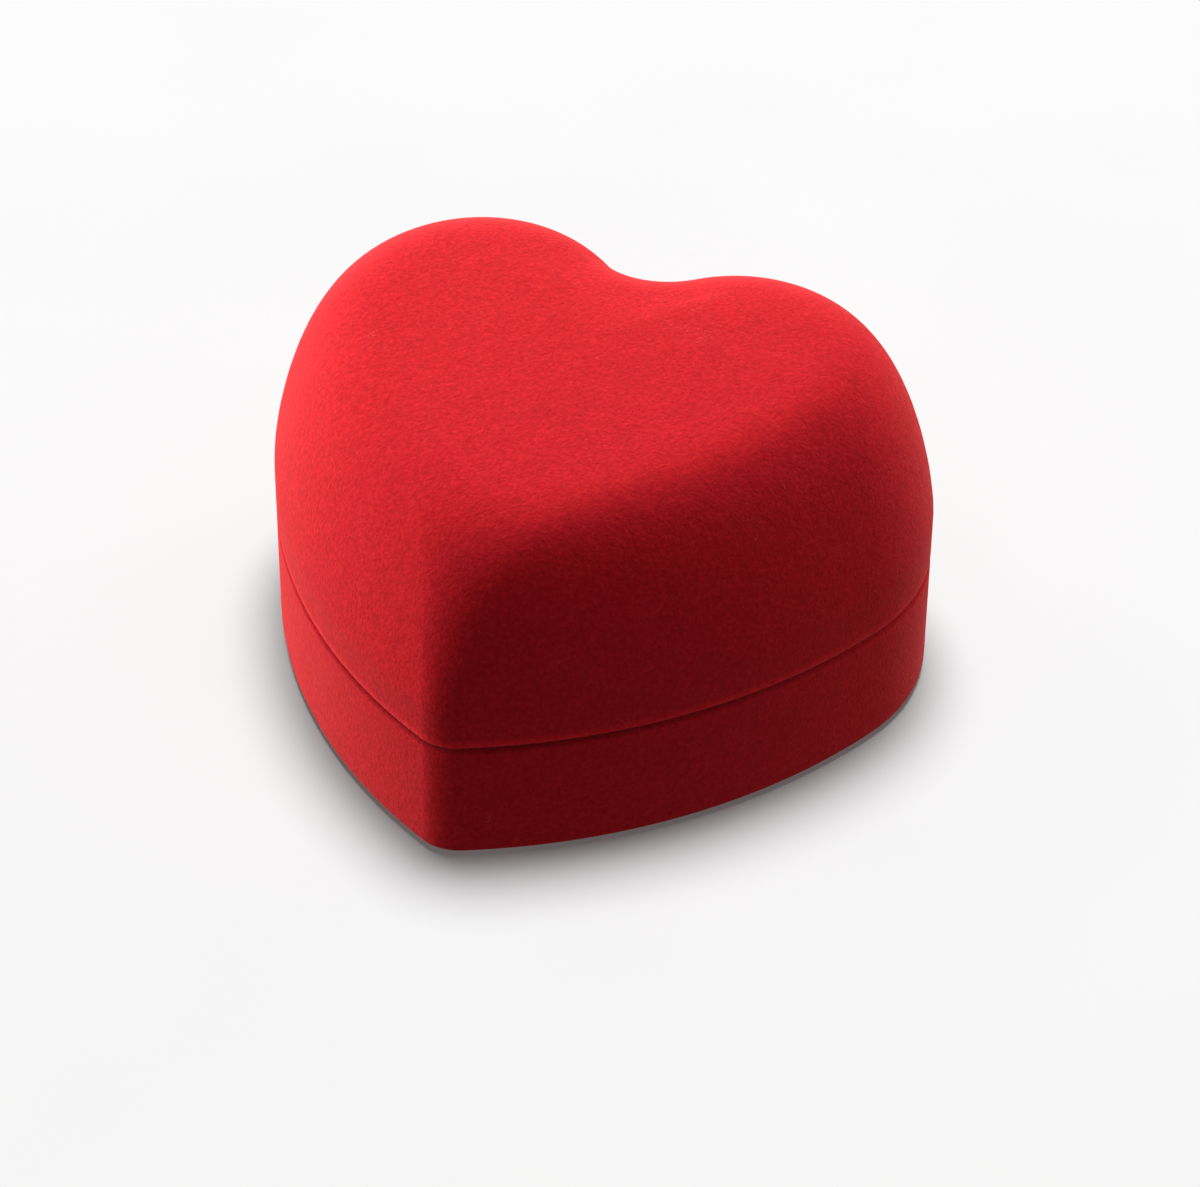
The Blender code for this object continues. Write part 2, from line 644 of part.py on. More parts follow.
def hinge_lugs():
    """Two outer knuckles on arms below the seam, and the bar under them that stops the lid's heel."""
    inner = LID_KNUCKLE_WIDTH / 2 + CLEARANCE
    outer = inner + BASE_KNUCKLE_WIDTH
    wall_back = lobe_back_at(outer) - WALL * 0.7
    lug_top = SEAM_HEIGHT - SEAM_GAP
    bar_top = SEAM_HEIGHT - STOP_HEEL_RADIUS - CLEARANCE
    bar_bottom = bar_top - STOP_BAR_THICKNESS
    bar_back = HINGE_Y + KNUCKLE_RADIUS
    bar_end = outer - OVERLAP
    pieces = [block("heel_stop_bar", (-bar_end, wall_back, bar_bottom), (bar_end, bar_back, bar_top))]
    for side, (left, right) in {"left": (-outer, -inner), "right": (inner, outer)}.items():
        pieces.append(cross_rod(f"{side}_knuckle", KNUCKLE_RADIUS, left, right, HINGE_Y, SEAM_HEIGHT, 24))
        pieces.append(block(f"{side}_lug", (left, wall_back, bar_bottom), (right, HINGE_Y, lug_top)))
    return pieces


def lobe_back_at(x):
    """The back of the right lobe's outside, at x."""
    return LOBE_CENTRE_Y + math.sqrt(LOBE_RADIUS**2 - (LOBE_X - x) ** 2)


def make_base_felt():
    outline = heart(FELT_INSET + CLEARANCE)
    hole = circle(RECESS_RADIUS + CLEARANCE, BARREL_X, AXIS_Y, 40)
    return plate("base_felt", [outline, hole], 0, FELT_POCKET_DEPTH - CLEARANCE)


def make_lid_shell():
    rim = SEAM_HEIGHT + SEAM_GAP / 2
    outside = dome(0.0, rim + RIM_ROUNDING, 8)
    inside = dome(WALL, rim, 5)
    shell = loft("lid_shell", [*outside[::-1], level(heart(RIM_ROUNDING), rim), *inside])
    half = LID_KNUCKLE_WIDTH / 2
    arm_front = lobe_back_at(0) - WALL * 0.4
    heel_half = STOP_HEEL_THICKNESS / 2
    heel = block("lid_heel", (OVERLAP - half, -heel_half, 0), (half - OVERLAP, heel_half, STOP_HEEL_RADIUS))
    lean = Matrix.Rotation(math.pi / 2 - STOP_HEEL_ANGLE, 4, "X")
    heel.data.transform(Matrix.Translation((0, HINGE_Y, SEAM_HEIGHT)) @ lean)
    join(
        shell,
        block("lid_arm", (-half, arm_front, rim), (half, HINGE_Y, rim + HINGE_ARM_THICKNESS)),
        cross_rod("lid_knuckle", KNUCKLE_RADIUS, OVERLAP - half, half - OVERLAP, HINGE_Y, SEAM_HEIGHT, 24),
        heel,
        stop_tab(),
    )
    return cut(shell, hinge_bore("lid_hinge_bore"))


def stop_tab():
    """The finger inside the lid's left wall that presses the stop rod down."""
    direction = math.atan2(STOP_Y - LOBE_CENTRE_Y, STOP_X + LOBE_X)
    reach = math.hypot(STOP_Y - LOBE_CENTRE_Y, STOP_X + LOBE_X)
    half = STOP_TAB_WIDTH / 2
    bottom = SEAM_HEIGHT + STOP_TAB_BOTTOM
    top = bottom + STOP_TAB_THICKNESS
    tab = block("stop_tab", (reach - half, -half, bottom), (LOBE_RADIUS - WALL / 2, half, top))
    tab.data.transform(Matrix.Translation((-LOBE_X, LOBE_CENTRE_Y, 0)) @ Matrix.Rotation(direction, 4, "Z"))
    return tab


def make_lid_lining():
    bottom = SEAM_HEIGHT + LINING_BOTTOM
    outside = dome(WALL + CLEARANCE, bottom, 5)
    inside = dome(LINING_INSET, bottom, 5)
    return loft("lid_lining", [*outside[::-1], *inside])


def make_hinge_pin():
    half = LID_KNUCKLE_WIDTH / 2 + CLEARANCE + BASE_KNUCKLE_WIDTH
    return cross_rod("hinge_pin", HINGE_PIN_RADIUS, -half, half, HINGE_Y, SEAM_HEIGHT, 16)


def well_inset():
    return WALL + SEAM_GAP + TRAY_LIP_WIDTH + WELL_MARGIN


def make_tray():
    lip_top = SEAM_HEIGHT + TRAY_LIP_HEIGHT
    lip_outside = WALL + SEAM_GAP
    lip_inside = lip_outside + TRAY_LIP_WIDTH
    tray = loft(
        "tray",
        [
            level(heart(lip_outside), TRAY_BOTTOM),
            level(heart(lip_outside), lip_top - RIM_ROUNDING),
            level(heart(lip_outside + RIM_ROUNDING * 0.6), lip_top),
            level(heart(lip_inside), lip_top),
            level(heart(lip_inside), TRAY_TOP),
        ],
    )
    well_outside = in_front_of(heart(well_inset() - WELL_WALL), WELL_BACK + WELL_WALL)
    join(tray, plate("well_outside", [well_outside], WELL_FLOOR - WELL_WALL, TRAY_BOTTOM + OVERLAP))
    well_inside = in_front_of(heart(well_inset()), WELL_BACK)
    gap = COVER_WALL + CLEARANCE
    window = rounded_rectangle(
        COVER_LEFT + gap, COVER_RIGHT - gap, COVER_FRONT + gap, COVER_BACK - gap, COVER_CORNER - COVER_WALL
    )
    below = TRAY_BOTTOM - BEYOND
    above = TRAY_TOP + BEYOND
    return cut(
        tray,
        plate("well_inside", [well_inside], WELL_FLOOR, lip_top),
        plate("window", [window], below, above),
        rod("stop_rod_hole", STOP_RADIUS + CLEARANCE, STOP_X, STOP_Y, below, above, 16),
    )


def make_trinket_pad():
    outline = in_front_of(heart(well_inset() + 2 * CLEARANCE), WELL_BACK - 2 * CLEARANCE)
    bottom = WELL_FLOOR + CLEARANCE
    return plate("trinket_pad", [outline], bottom, bottom + PAD_THICKNESS)


def make_cover():
    outside = rounded_rectangle(COVER_LEFT, COVER_RIGHT, COVER_FRONT, COVER_BACK, COVER_CORNER)
    inside = rounded_rectangle(
        COVER_LEFT + COVER_WALL,
        COVER_RIGHT - COVER_WALL,
        COVER_FRONT + COVER_WALL,
        COVER_BACK - COVER_WALL,
        COVER_CORNER - COVER_WALL,
    )
    bottom = TRAY_TOP + CLEARANCE
    sections = [
        level(outside, COVER_TOP),
        level(outside, bottom),
        level(inside, bottom),
        level(inside, COVER_TOP - COVER_WALL),
    ]
    return loft("movement_cover", sections)


# ---------------------------------------------------------------- movement: fixed pieces


def make_bedplate():
    left = CAGE_X - BED_MARGIN
    right = BARREL_X + BARREL_RADIUS + BED_MARGIN
    front = COMB_BODY_FRONT - ANVIL_MARGIN
    back = WORM_Y + BEARING_HALF
    outline = rounded_rectangle(left, right, front, back, BEARING_HALF)
    holes = [circle(LARGE_HOLE, x, y, 12) for x, y in BED_SCREWS]
    holes += [circle(LARGE_HOLE, BARREL_X, AXIS_Y + side * BRIDGE_LEG_OFFSET, 12) for side in (-1, 1)]
    holes += [circle(SMALL_HOLE, x, y, 12) for x, y in (SIDE_PLATE_SCREW, CAGE_SCREW)]
    holes.append(circle(ARBOR_RADIUS + CLEARANCE, BARREL_X, AXIS_Y))
    holes.append(circle(SPINDLE_RADIUS + CLEARANCE, WORM_X, WORM_Y, 12))
    bed = plate("bedplate", [outline, *holes], BED_BOTTOM, BED_TOP)
    end = COMB_END + ANVIL_MARGIN
    anvil = block(
        "comb_anvil",
        (CYLINDER_LEFT - end, COMB_BODY_FRONT, BED_TOP - OVERLAP),
        (CYLINDER_RIGHT + end, COMB_BODY_BACK, COMB_Z - CLEARANCE),
    )
    join(bed, anvil)
    bottom = COMB_Z - SCREW_BITE - BEYOND
    return cut(
        bed,
        *[rod(f"comb_hole_{i}", LARGE_HOLE, x, y, bottom, COMB_Z, 12) for i, (x, y) in enumerate(COMB_SCREWS)],
    )


def make_screws():
    """Every screw, each into the piece below the one that it holds."""
    through_bed = BED_BOTTOM + CLEARANCE
    foot_top = BED_TOP + CLEARANCE + PLATE_THICKNESS
    screws = []
    for i, (x, y) in enumerate(BED_SCREWS, 1):
        screws.append(slotted_screw(f"bed_screw_{i}", LARGE_SCREW, x, y, BED_TOP, BED_TOP - SCREW_BITE))
    for i, side in enumerate((-1, 1), 1):
        y = AXIS_Y + side * BRIDGE_LEG_OFFSET
        screws.append(slotted_screw(f"bridge_screw_{i}", LARGE_SCREW, BARREL_X, y, BRIDGE_TOP, through_bed))
    for i, (x, y) in enumerate(COMB_SCREWS, 1):
        seat = COMB_Z + COMB_THICKNESS
        screws.append(slotted_screw(f"comb_screw_{i}", LARGE_SCREW, x, y, seat, COMB_Z - SCREW_BITE))
    screws.append(slotted_screw("side_plate_screw", SMALL_SCREW, *SIDE_PLATE_SCREW, foot_top, through_bed))
    screws.append(slotted_screw("cage_screw", SMALL_SCREW, *CAGE_SCREW, foot_top, through_bed))
    return screws


def bearing_hole(name, radius, left, right, y):
    return cross_rod(name, radius + CLEARANCE, left - BEYOND, right + BEYOND, y, AXIS_Z, 16)


def make_side_plate():
    bottom = BED_TOP + CLEARANCE
    foot_right = SIDE_PLATE_SCREW[0] + SMALL_SCREW[0] + CLEARANCE
    side = block(
        "side_plate",
        (SIDE_PLATE_X, AXIS_Y - BEARING_HALF, bottom),
        (SIDE_PLATE_INNER, GOVERNOR_Y + BEARING_HALF, AXIS_Z + BEARING_HALF),
    )
    foot = block(
        "side_plate_foot",
        (SIDE_PLATE_INNER - OVERLAP, AXIS_Y - BEARING_HALF + OVERLAP, bottom),
        (foot_right, AXIS_Y + BEARING_HALF, bottom + PLATE_THICKNESS),
    )
    join(side, foot)
    return cut(
        side,
        bearing_hole("side_cylinder_hole", CYLINDER_ARBOR_RADIUS, SIDE_PLATE_X, SIDE_PLATE_INNER, AXIS_Y),
        bearing_hole("side_governor_hole", GOVERNOR_ARBOR_RADIUS, SIDE_PLATE_X, SIDE_PLATE_INNER, GOVERNOR_Y),
        rod("side_screw_hole", SMALL_HOLE, *SIDE_PLATE_SCREW, BED_TOP, bottom + 2 * PLATE_THICKNESS, 12),
    )


def make_governor_cage():
    """The governor's outer bearing, with an arm over the worm that holds the top of its spindle."""
    bottom = BED_TOP + CLEARANCE
    foot_top = bottom + PLATE_THICKNESS
    arm_bottom = AXIS_Z + CAGE_ARM_HEIGHT
    arm_top = arm_bottom + PLATE_THICKNESS
    foot_front = CAGE_SCREW[1] - SMALL_SCREW[0] - CLEARANCE
    plate_back = GOVERNOR_Y + WHEEL_RADIUS / 2
    spindle_hole = SPINDLE_RADIUS + CLEARANCE
    cage = block("governor_cage", (CAGE_X, foot_front, bottom), (CAGE_INNER, plate_back, arm_top))
    join(
        cage,
        block(
            "cage_foot",
            (CAGE_INNER - OVERLAP, foot_front + OVERLAP, bottom),
            (SIDE_PLATE_X - CLEARANCE, GOVERNOR_Y, foot_top),
        ),
        block(
            "cage_arm",
            (CAGE_X + OVERLAP, GOVERNOR_Y, arm_bottom),
            (CAGE_INNER - OVERLAP, WORM_Y + BEARING_HALF, arm_top - OVERLAP),
        ),
        block(
            "cage_finger",
            (CAGE_INNER - 2 * OVERLAP, WORM_Y - BEARING_HALF, arm_bottom + OVERLAP),
            (WORM_X + WORM_RADIUS, WORM_Y + BEARING_HALF - OVERLAP, arm_top - 2 * OVERLAP),
        ),
    )
    return cut(
        cage,
        bearing_hole("cage_governor_hole", GOVERNOR_ARBOR_RADIUS, CAGE_X, CAGE_INNER, GOVERNOR_Y),
        rod("cage_worm_hole", spindle_hole, WORM_X, WORM_Y, arm_bottom - BEYOND, arm_top + BEYOND, 12),
        rod("cage_screw_hole", SMALL_HOLE, *CAGE_SCREW, BED_TOP, foot_top + PLATE_THICKNESS, 12),
    )


def make_barrel_bridge():
    half = BRIDGE_WIDTH / 2
    reach = BRIDGE_LEG_OFFSET + BRIDGE_LEG_RADIUS
    bar = rounded_rectangle(BARREL_X - half, BARREL_X + half, AXIS_Y - reach, AXIS_Y + reach, half * 0.8)
    bridge = plate("barrel_bridge", [bar], BRIDGE_BOTTOM, BRIDGE_TOP)
    foot = BED_TOP + CLEARANCE
    leg_top = BRIDGE_BOTTOM + OVERLAP
    ends = [AXIS_Y + side * BRIDGE_LEG_OFFSET for side in (-1, 1)]
    lug_left = BARREL_X - CROWN_PITCH_RADIUS + DRIVE_WIDTH + GEAR_GAP
    lug = block(
        "bearing_lug",
        (lug_left, AXIS_Y - BEARING_HALF, BRIDGE_BOTTOM + OVERLAP),
        (BARREL_X - half + OVERLAP, AXIS_Y + BEARING_HALF, AXIS_Z + BEARING_HALF),
    )
    join(
        bridge,
        *[rod(f"bridge_leg_{i}", BRIDGE_LEG_RADIUS, BARREL_X, y, foot, leg_top, 16) for i, y in enumerate(ends)],
        lug,
    )
    above = BRIDGE_TOP + BEYOND
    bearing_end = lug_left + BEARING_DEPTH - BEYOND
    return cut(
        bridge,
        *[rod(f"bridge_hole_{i}", LARGE_HOLE, BARREL_X, y, BED_TOP, above, 12) for i, y in enumerate(ends)],
        bearing_hole("bridge_bearing", CYLINDER_ARBOR_RADIUS, lug_left, bearing_end, AXIS_Y),
        rod("bridge_arbor_hole", ARBOR_RADIUS + CLEARANCE, BARREL_X, AXIS_Y, BRIDGE_BOTTOM - BEYOND, above),
    )


def make_comb():
    left = CYLINDER_LEFT - COMB_END
    right = CYLINDER_RIGHT + COMB_END
    root_half = COMB_TOOTH_WIDTH / 2
    tip_half = root_half * 0.8
    outline = [(left, COMB_BODY_FRONT), (right, COMB_BODY_FRONT)]
    for note in range(NOTES):
        x = note_x(note)
        root = COMB_TIP_Y - COMB_SHORTEST - (COMB_LONGEST - COMB_SHORTEST) * note / (NOTES - 1)
        if note == 0:
            outline.append((right, root))
        outline.append((x + root_half, root))
        outline.append((x + tip_half, COMB_TIP_Y))
        outline.append((x - tip_half, COMB_TIP_Y))
        outline.append((x - root_half, root))
    outline.append((left, COMB_BODY_BACK))
    holes = [circle(LARGE_HOLE, x, y, 12) for x, y in COMB_SCREWS]
    return plate("comb", [outline, *holes], COMB_Z, COMB_Z + COMB_THICKNESS)


def note_x(note):
    return CYLINDER_RIGHT - CYLINDER_END - (note + 0.5) * NOTE_PITCH


# ---------------------------------------------------------------- movement: turning pieces


def make_barrel_drum():
    inner = BARREL_RADIUS - BARREL_WALL
    hole = ARBOR_RADIUS + CLEARANCE
    floor = BARREL_BOTTOM + BARREL_WALL
    profile = (
        (inner, BARREL_TOP),
        (BARREL_RADIUS, BARREL_TOP),
        (BARREL_RADIUS, BARREL_BOTTOM),
        (hole, BARREL_BOTTOM),
        (hole, floor),
        (inner, floor),
    )
    return turned("barrel_drum", profile, BARREL_X, AXIS_Y, 40)


def make_mainspring():
    bottom = BARREL_BOTTOM + BARREL_WALL + SPRING_INSET
    top = BARREL_TOP - SPRING_INSET
    start = ARBOR_RADIUS + ARBOR_COLLAR + 2 * CLEARANCE
    end = BARREL_RADIUS - BARREL_WALL - 2 * CLEARANCE
    steps = SPRING_TURNS * SPRING_STEPS
    sides = []
    for offset in (SPRING_THICKNESS / 2, -SPRING_THICKNESS / 2):
        side = []
        for i in range(steps + 1):
            radius = start + (end - start) * i / steps + offset
            angle = 2 * math.pi * SPRING_TURNS * i / steps
            side.append((BARREL_X + radius * math.cos(angle), AXIS_Y + radius * math.sin(angle)))
        sides.append(side)
    return plate("mainspring", [sides[0] + sides[1][::-1]], bottom, top)


def make_crown_wheel():
    half_pitch = math.pi / CROWN_TEETH
    inner = BARREL_RADIUS - CROWN_TOOTH_LENGTH
    teeth = gear_outline(CROWN_TEETH, inner, BARREL_RADIUS, 0.3, 0.3, half_pitch)
    teeth = [(BARREL_X + x, AXIS_Y + y) for x, y in teeth]
    hole = circle(ARBOR_RADIUS + CLEARANCE, BARREL_X, AXIS_Y)
    wheel = plate("crown_wheel", [teeth, hole], CROWN_DISC_TOP - OVERLAP, CROWN_TOOTH_TOP)
    disc_outline = circle(BARREL_RADIUS, BARREL_X, AXIS_Y, 40)
    disc = plate("crown_disc", [disc_outline, hole], CROWN_DISC_TOP - CROWN_DISC_THICKNESS, CROWN_DISC_TOP)
    return join(wheel, disc)


def make_winding_arbor():
    top = BRIDGE_TOP + 2 * CLEARANCE
    collar = ARBOR_RADIUS + ARBOR_COLLAR
    collar_top = BARREL_TOP - CLEARANCE
    collar_bottom = BARREL_BOTTOM + BARREL_WALL + CLEARANCE
    bottom = KEY_HUB_TOP - KEY_BORE_DEPTH + CLEARANCE
    profile = (
        (0, top),
        (ARBOR_RADIUS, top),
        (ARBOR_RADIUS, collar_top),
        (collar, collar_top),
        (collar, collar_bottom),
        (ARBOR_RADIUS, collar_bottom),
        (ARBOR_RADIUS, bottom),
        (0, bottom),
    )
    return turned("winding_arbor", profile, BARREL_X, AXIS_Y, 20)


def make_winding_key():
    half_length = KEY_LENGTH / 2
    half_thickness = KEY_THICKNESS / 2
    wing = block(
        "winding_key",
        (BARREL_X - half_length, AXIS_Y - half_thickness, KEY_BOTTOM),
        (BARREL_X + half_length, AXIS_Y + half_thickness, KEY_BOTTOM + KEY_WING_HEIGHT),
    )
    bevel = wing.modifiers.new("soft_edges", "BEVEL")
    bevel.width = KEY_THICKNESS / 3
    bevel.segments = 2
    join(wing, rod("key_hub", KEY_HUB_RADIUS, BARREL_X, AXIS_Y, KEY_BOTTOM + CLEARANCE, KEY_HUB_TOP, 24))
    bore = ARBOR_RADIUS + CLEARANCE
    bore_bottom = KEY_HUB_TOP - KEY_BORE_DEPTH
    return cut(wing, rod("key_bore", bore, BARREL_X, AXIS_Y, bore_bottom, KEY_HUB_TOP + BEYOND))


def make_cylinder():
    inner = CYLINDER_RADIUS - CYLINDER_WALL
    profile = (
        (inner, CYLINDER_RIGHT),
        (CYLINDER_RADIUS, CYLINDER_RIGHT),
        (CYLINDER_RADIUS, CYLINDER_LEFT),
        (inner, CYLINDER_LEFT),
    )
    tube = turned("cylinder", profile, 0, 0, 36)
    tube.rotation_euler = (0, math.pi / 2, 0)
    tube.location = (0, AXIS_Y, AXIS_Z)
    return join(tube, song_pins())


def song_pins():
    """Pins on the cylinder, three for each note, in a plain arithmetic pattern and no real tune."""
    start = CYLINDER_RADIUS - CYLINDER_WALL / 2
    length = PIN_HEIGHT + CYLINDER_WALL / 2

    def build(bm):
        for note in range(NOTES):
            for verse in range(3):
                step = (note * 5 + verse * 13 + note * verse * 2) % SONG_STEPS
                angle = 2 * math.pi * (step + 0.5) / SONG_STEPS
                pin = bmesh.ops.create_cone(
                    bm, cap_ends=True, segments=5, radius1=PIN_RADIUS, radius2=PIN_RADIUS, depth=length
                )
                away = Matrix.Rotation(angle, 4, "X") @ Matrix.Translation((0, 0, start + length / 2))
                place = Matrix.Translation((note_x(note), AXIS_Y, AXIS_Z)) @ away
                bmesh.ops.transform(bm, matrix=place, verts=pin["verts"])

    return add_object("song_pins", mesh_from("song_pins", build))


def make_cylinder_caps():
    outline = circle(CYLINDER_RADIUS - CYLINDER_WALL - CLEARANCE, sides=32)
    bore = circle(CYLINDER_ARBOR_RADIUS + CLEARANCE)
    right_start = CYLINDER_RIGHT - CAP_INSET - CAP_THICKNESS
    left_start = CYLINDER_LEFT + CAP_INSET
    right_cap = plate("cylinder_cap_right", [outline, bore], right_start, right_start + CAP_THICKNESS)
    left_cap = plate("cylinder_cap_left", [outline, bore], left_start, left_start + CAP_THICKNESS)
    return [lie_along_x(right_cap, AXIS_Y, AXIS_Z), lie_along_x(left_cap, AXIS_Y, AXIS_Z)]


def make_cylinder_arbor():
    right = BARREL_X - CROWN_PITCH_RADIUS + DRIVE_WIDTH + GEAR_GAP + BEARING_DEPTH - CLEARANCE
    return cross_rod("cylinder_arbor", CYLINDER_ARBOR_RADIUS, SIDE_PLATE_X - CLEARANCE, right, AXIS_Y, AXIS_Z)


def make_drive_pinion():
    left = BARREL_X - BARREL_RADIUS
    root = DRIVE_PITCH_RADIUS - DRIVE_ROOT
    outline = gear_outline(DRIVE_TEETH, root, DRIVE_PITCH_RADIUS + TOOTH_TIP, 0.36, 0.2)
    bore = circle(CYLINDER_ARBOR_RADIUS + CLEARANCE)
    pinion = plate("drive_pinion", [outline, bore], left, left + DRIVE_WIDTH)
    return lie_along_x(pinion, AXIS_Y, AXIS_Z)


def make_cylinder_gear():
    outline = gear_outline(GEAR_TEETH, GEAR_RADIUS - TOOTH_ROOT, GEAR_RADIUS + TOOTH_TIP, 0.4, 0.2)
    bore = circle(CYLINDER_ARBOR_RADIUS + CLEARANCE)
    gear = plate("cylinder_gear", [outline, bore], GEAR_X, GEAR_X + GEAR_WIDTH)
    return lie_along_x(gear, AXIS_Y, AXIS_Z)


def make_governor_arbor():
    half_pitch = math.pi / PINION_TEETH
    root = PINION_RADIUS - TOOTH_ROOT
    outline = gear_outline(PINION_TEETH, root, PINION_RADIUS + TOOTH_TIP, 0.4, 0.2, half_pitch)
    right = GEAR_X + GEAR_WIDTH
    leaves = plate("governor_arbor", [outline], GEAR_X - CLEARANCE, right + CLEARANCE)
    lie_along_x(leaves, GOVERNOR_Y, AXIS_Z)
    shaft = cross_rod("governor_shaft", GOVERNOR_ARBOR_RADIUS, CAGE_X, right, GOVERNOR_Y, AXIS_Z, 16)
    return join(leaves, shaft)


def make_worm_wheel():
    outline = gear_outline(WHEEL_TEETH, WHEEL_RADIUS - TOOTH_ROOT, WHEEL_RADIUS + WHEEL_TOOTH_TIP, 0.36, 0.2)
    bore = circle(GOVERNOR_ARBOR_RADIUS + CLEARANCE)
    wheel = plate("worm_wheel", [outline, bore], WHEEL_X, WHEEL_X + WHEEL_WIDTH)
    return lie_along_x(wheel, GOVERNOR_Y, AXIS_Z)


def make_worm():
    """An upright spindle with a core, and one thread that a round wire makes."""
    core_half = WORM_LEAD * WORM_TURNS / 2 + WORM_WIRE_RADIUS
    top = AXIS_Z + CAGE_ARM_HEIGHT + PLATE_THICKNESS + CLEARANCE
    bottom = BED_BOTTOM + CLEARANCE
    profile = (
        (0, top),
        (SPINDLE_RADIUS, top),
        (SPINDLE_RADIUS, AXIS_Z + core_half),
        (WORM_CORE_RADIUS, AXIS_Z + core_half),
        (WORM_CORE_RADIUS, AXIS_Z - core_half),
        (SPINDLE_RADIUS, AXIS_Z - core_half),
        (SPINDLE_RADIUS, bottom),
        (0, bottom),
    )
    worm = turned("worm", profile, WORM_X, WORM_Y, 16)
    curve = bpy.data.curves.new("worm_thread", "CURVE")
    curve.dimensions = "3D"
    curve.bevel_depth = WORM_WIRE_RADIUS
    curve.bevel_resolution = 1
    curve.use_fill_caps = True
    spline = curve.splines.new("POLY")
    steps = int(WORM_TURNS * THREAD_STEPS)
    spline.points.add(steps)
    thread_radius = WORM_RADIUS - OVERLAP
    for i, point in enumerate(spline.points):
        turns = i / THREAD_STEPS - WORM_TURNS / 2
        angle = 2 * math.pi * turns
        # The gap between two turns faces the wheel at the height of its axis, where one of its teeth points.
        height = AXIS_Z + WORM_LEAD * (turns + 0.25 + 0.5)
        x = WORM_X + thread_radius * math.cos(angle)
        y = WORM_Y + thread_radius * math.sin(angle)
        point.co = (x, y, height, 1)
    return join(worm, mesh_object("worm_thread", curve))


def make_fly():
    left = WORM_X - FLY_RADIUS
    right = WORM_X + FLY_RADIUS
    half = FLY_THICKNESS / 2
    fly = block("fly", (left, WORM_Y - half, FLY_BOTTOM), (right, WORM_Y + half, FLY_TOP))
    bore = SPINDLE_RADIUS + CLEARANCE
    hub = bore + FLY_HUB_WALL
    join(fly, rod("fly_hub", hub, WORM_X, WORM_Y, FLY_BOTTOM - OVERLAP, FLY_TOP + CLEARANCE, 16))
    return cut(fly, rod("fly_bore", bore, WORM_X, WORM_Y, FLY_BOTTOM - BEYOND, FLY_TOP + BEYOND, 16))


# ---------------------------------------------------------------- lid-operated stop


def make_stop_rod():
    """An upright rod under the lid's finger, with an arm that reaches to the pad beside the fly."""
    top = SEAM_HEIGHT + STOP_TAB_BOTTOM - CLEARANCE
    post = rod("stop_rod", STOP_RADIUS, STOP_X, STOP_Y, FLOOR_TOP + BEYOND + STOP_TRAVEL, top, 16)
    end_x = WORM_X - FLY_RADIUS - 3 * CLEARANCE - STOP_PAD_SIZE[0]
    run = math.hypot(end_x - STOP_X, WORM_Y - STOP_Y)
    heading = math.atan2(WORM_Y - STOP_Y, end_x - STOP_X)
    arm = rod("stop_arm", STOP_ARM_RADIUS, 0, 0, 0, run, 12)
    lie = Matrix.Rotation(heading, 4, "Z") @ Matrix.Rotation(math.pi / 2, 4, "Y")
    arm.data.transform(Matrix.Translation((STOP_X, STOP_Y, STOP_ARM_Z)) @ lie)
    return join(post, arm)


def make_stop_pad():
    length, width, height = STOP_PAD_SIZE
    right = WORM_X - FLY_RADIUS - 2 * CLEARANCE
    return block(
        "stop_pad",
        (right - length, WORM_Y - width / 2, STOP_ARM_Z - height / 2),
        (right, WORM_Y + width / 2, STOP_ARM_Z + height / 2),
    )


# ---------------------------------------------------------------- assembly


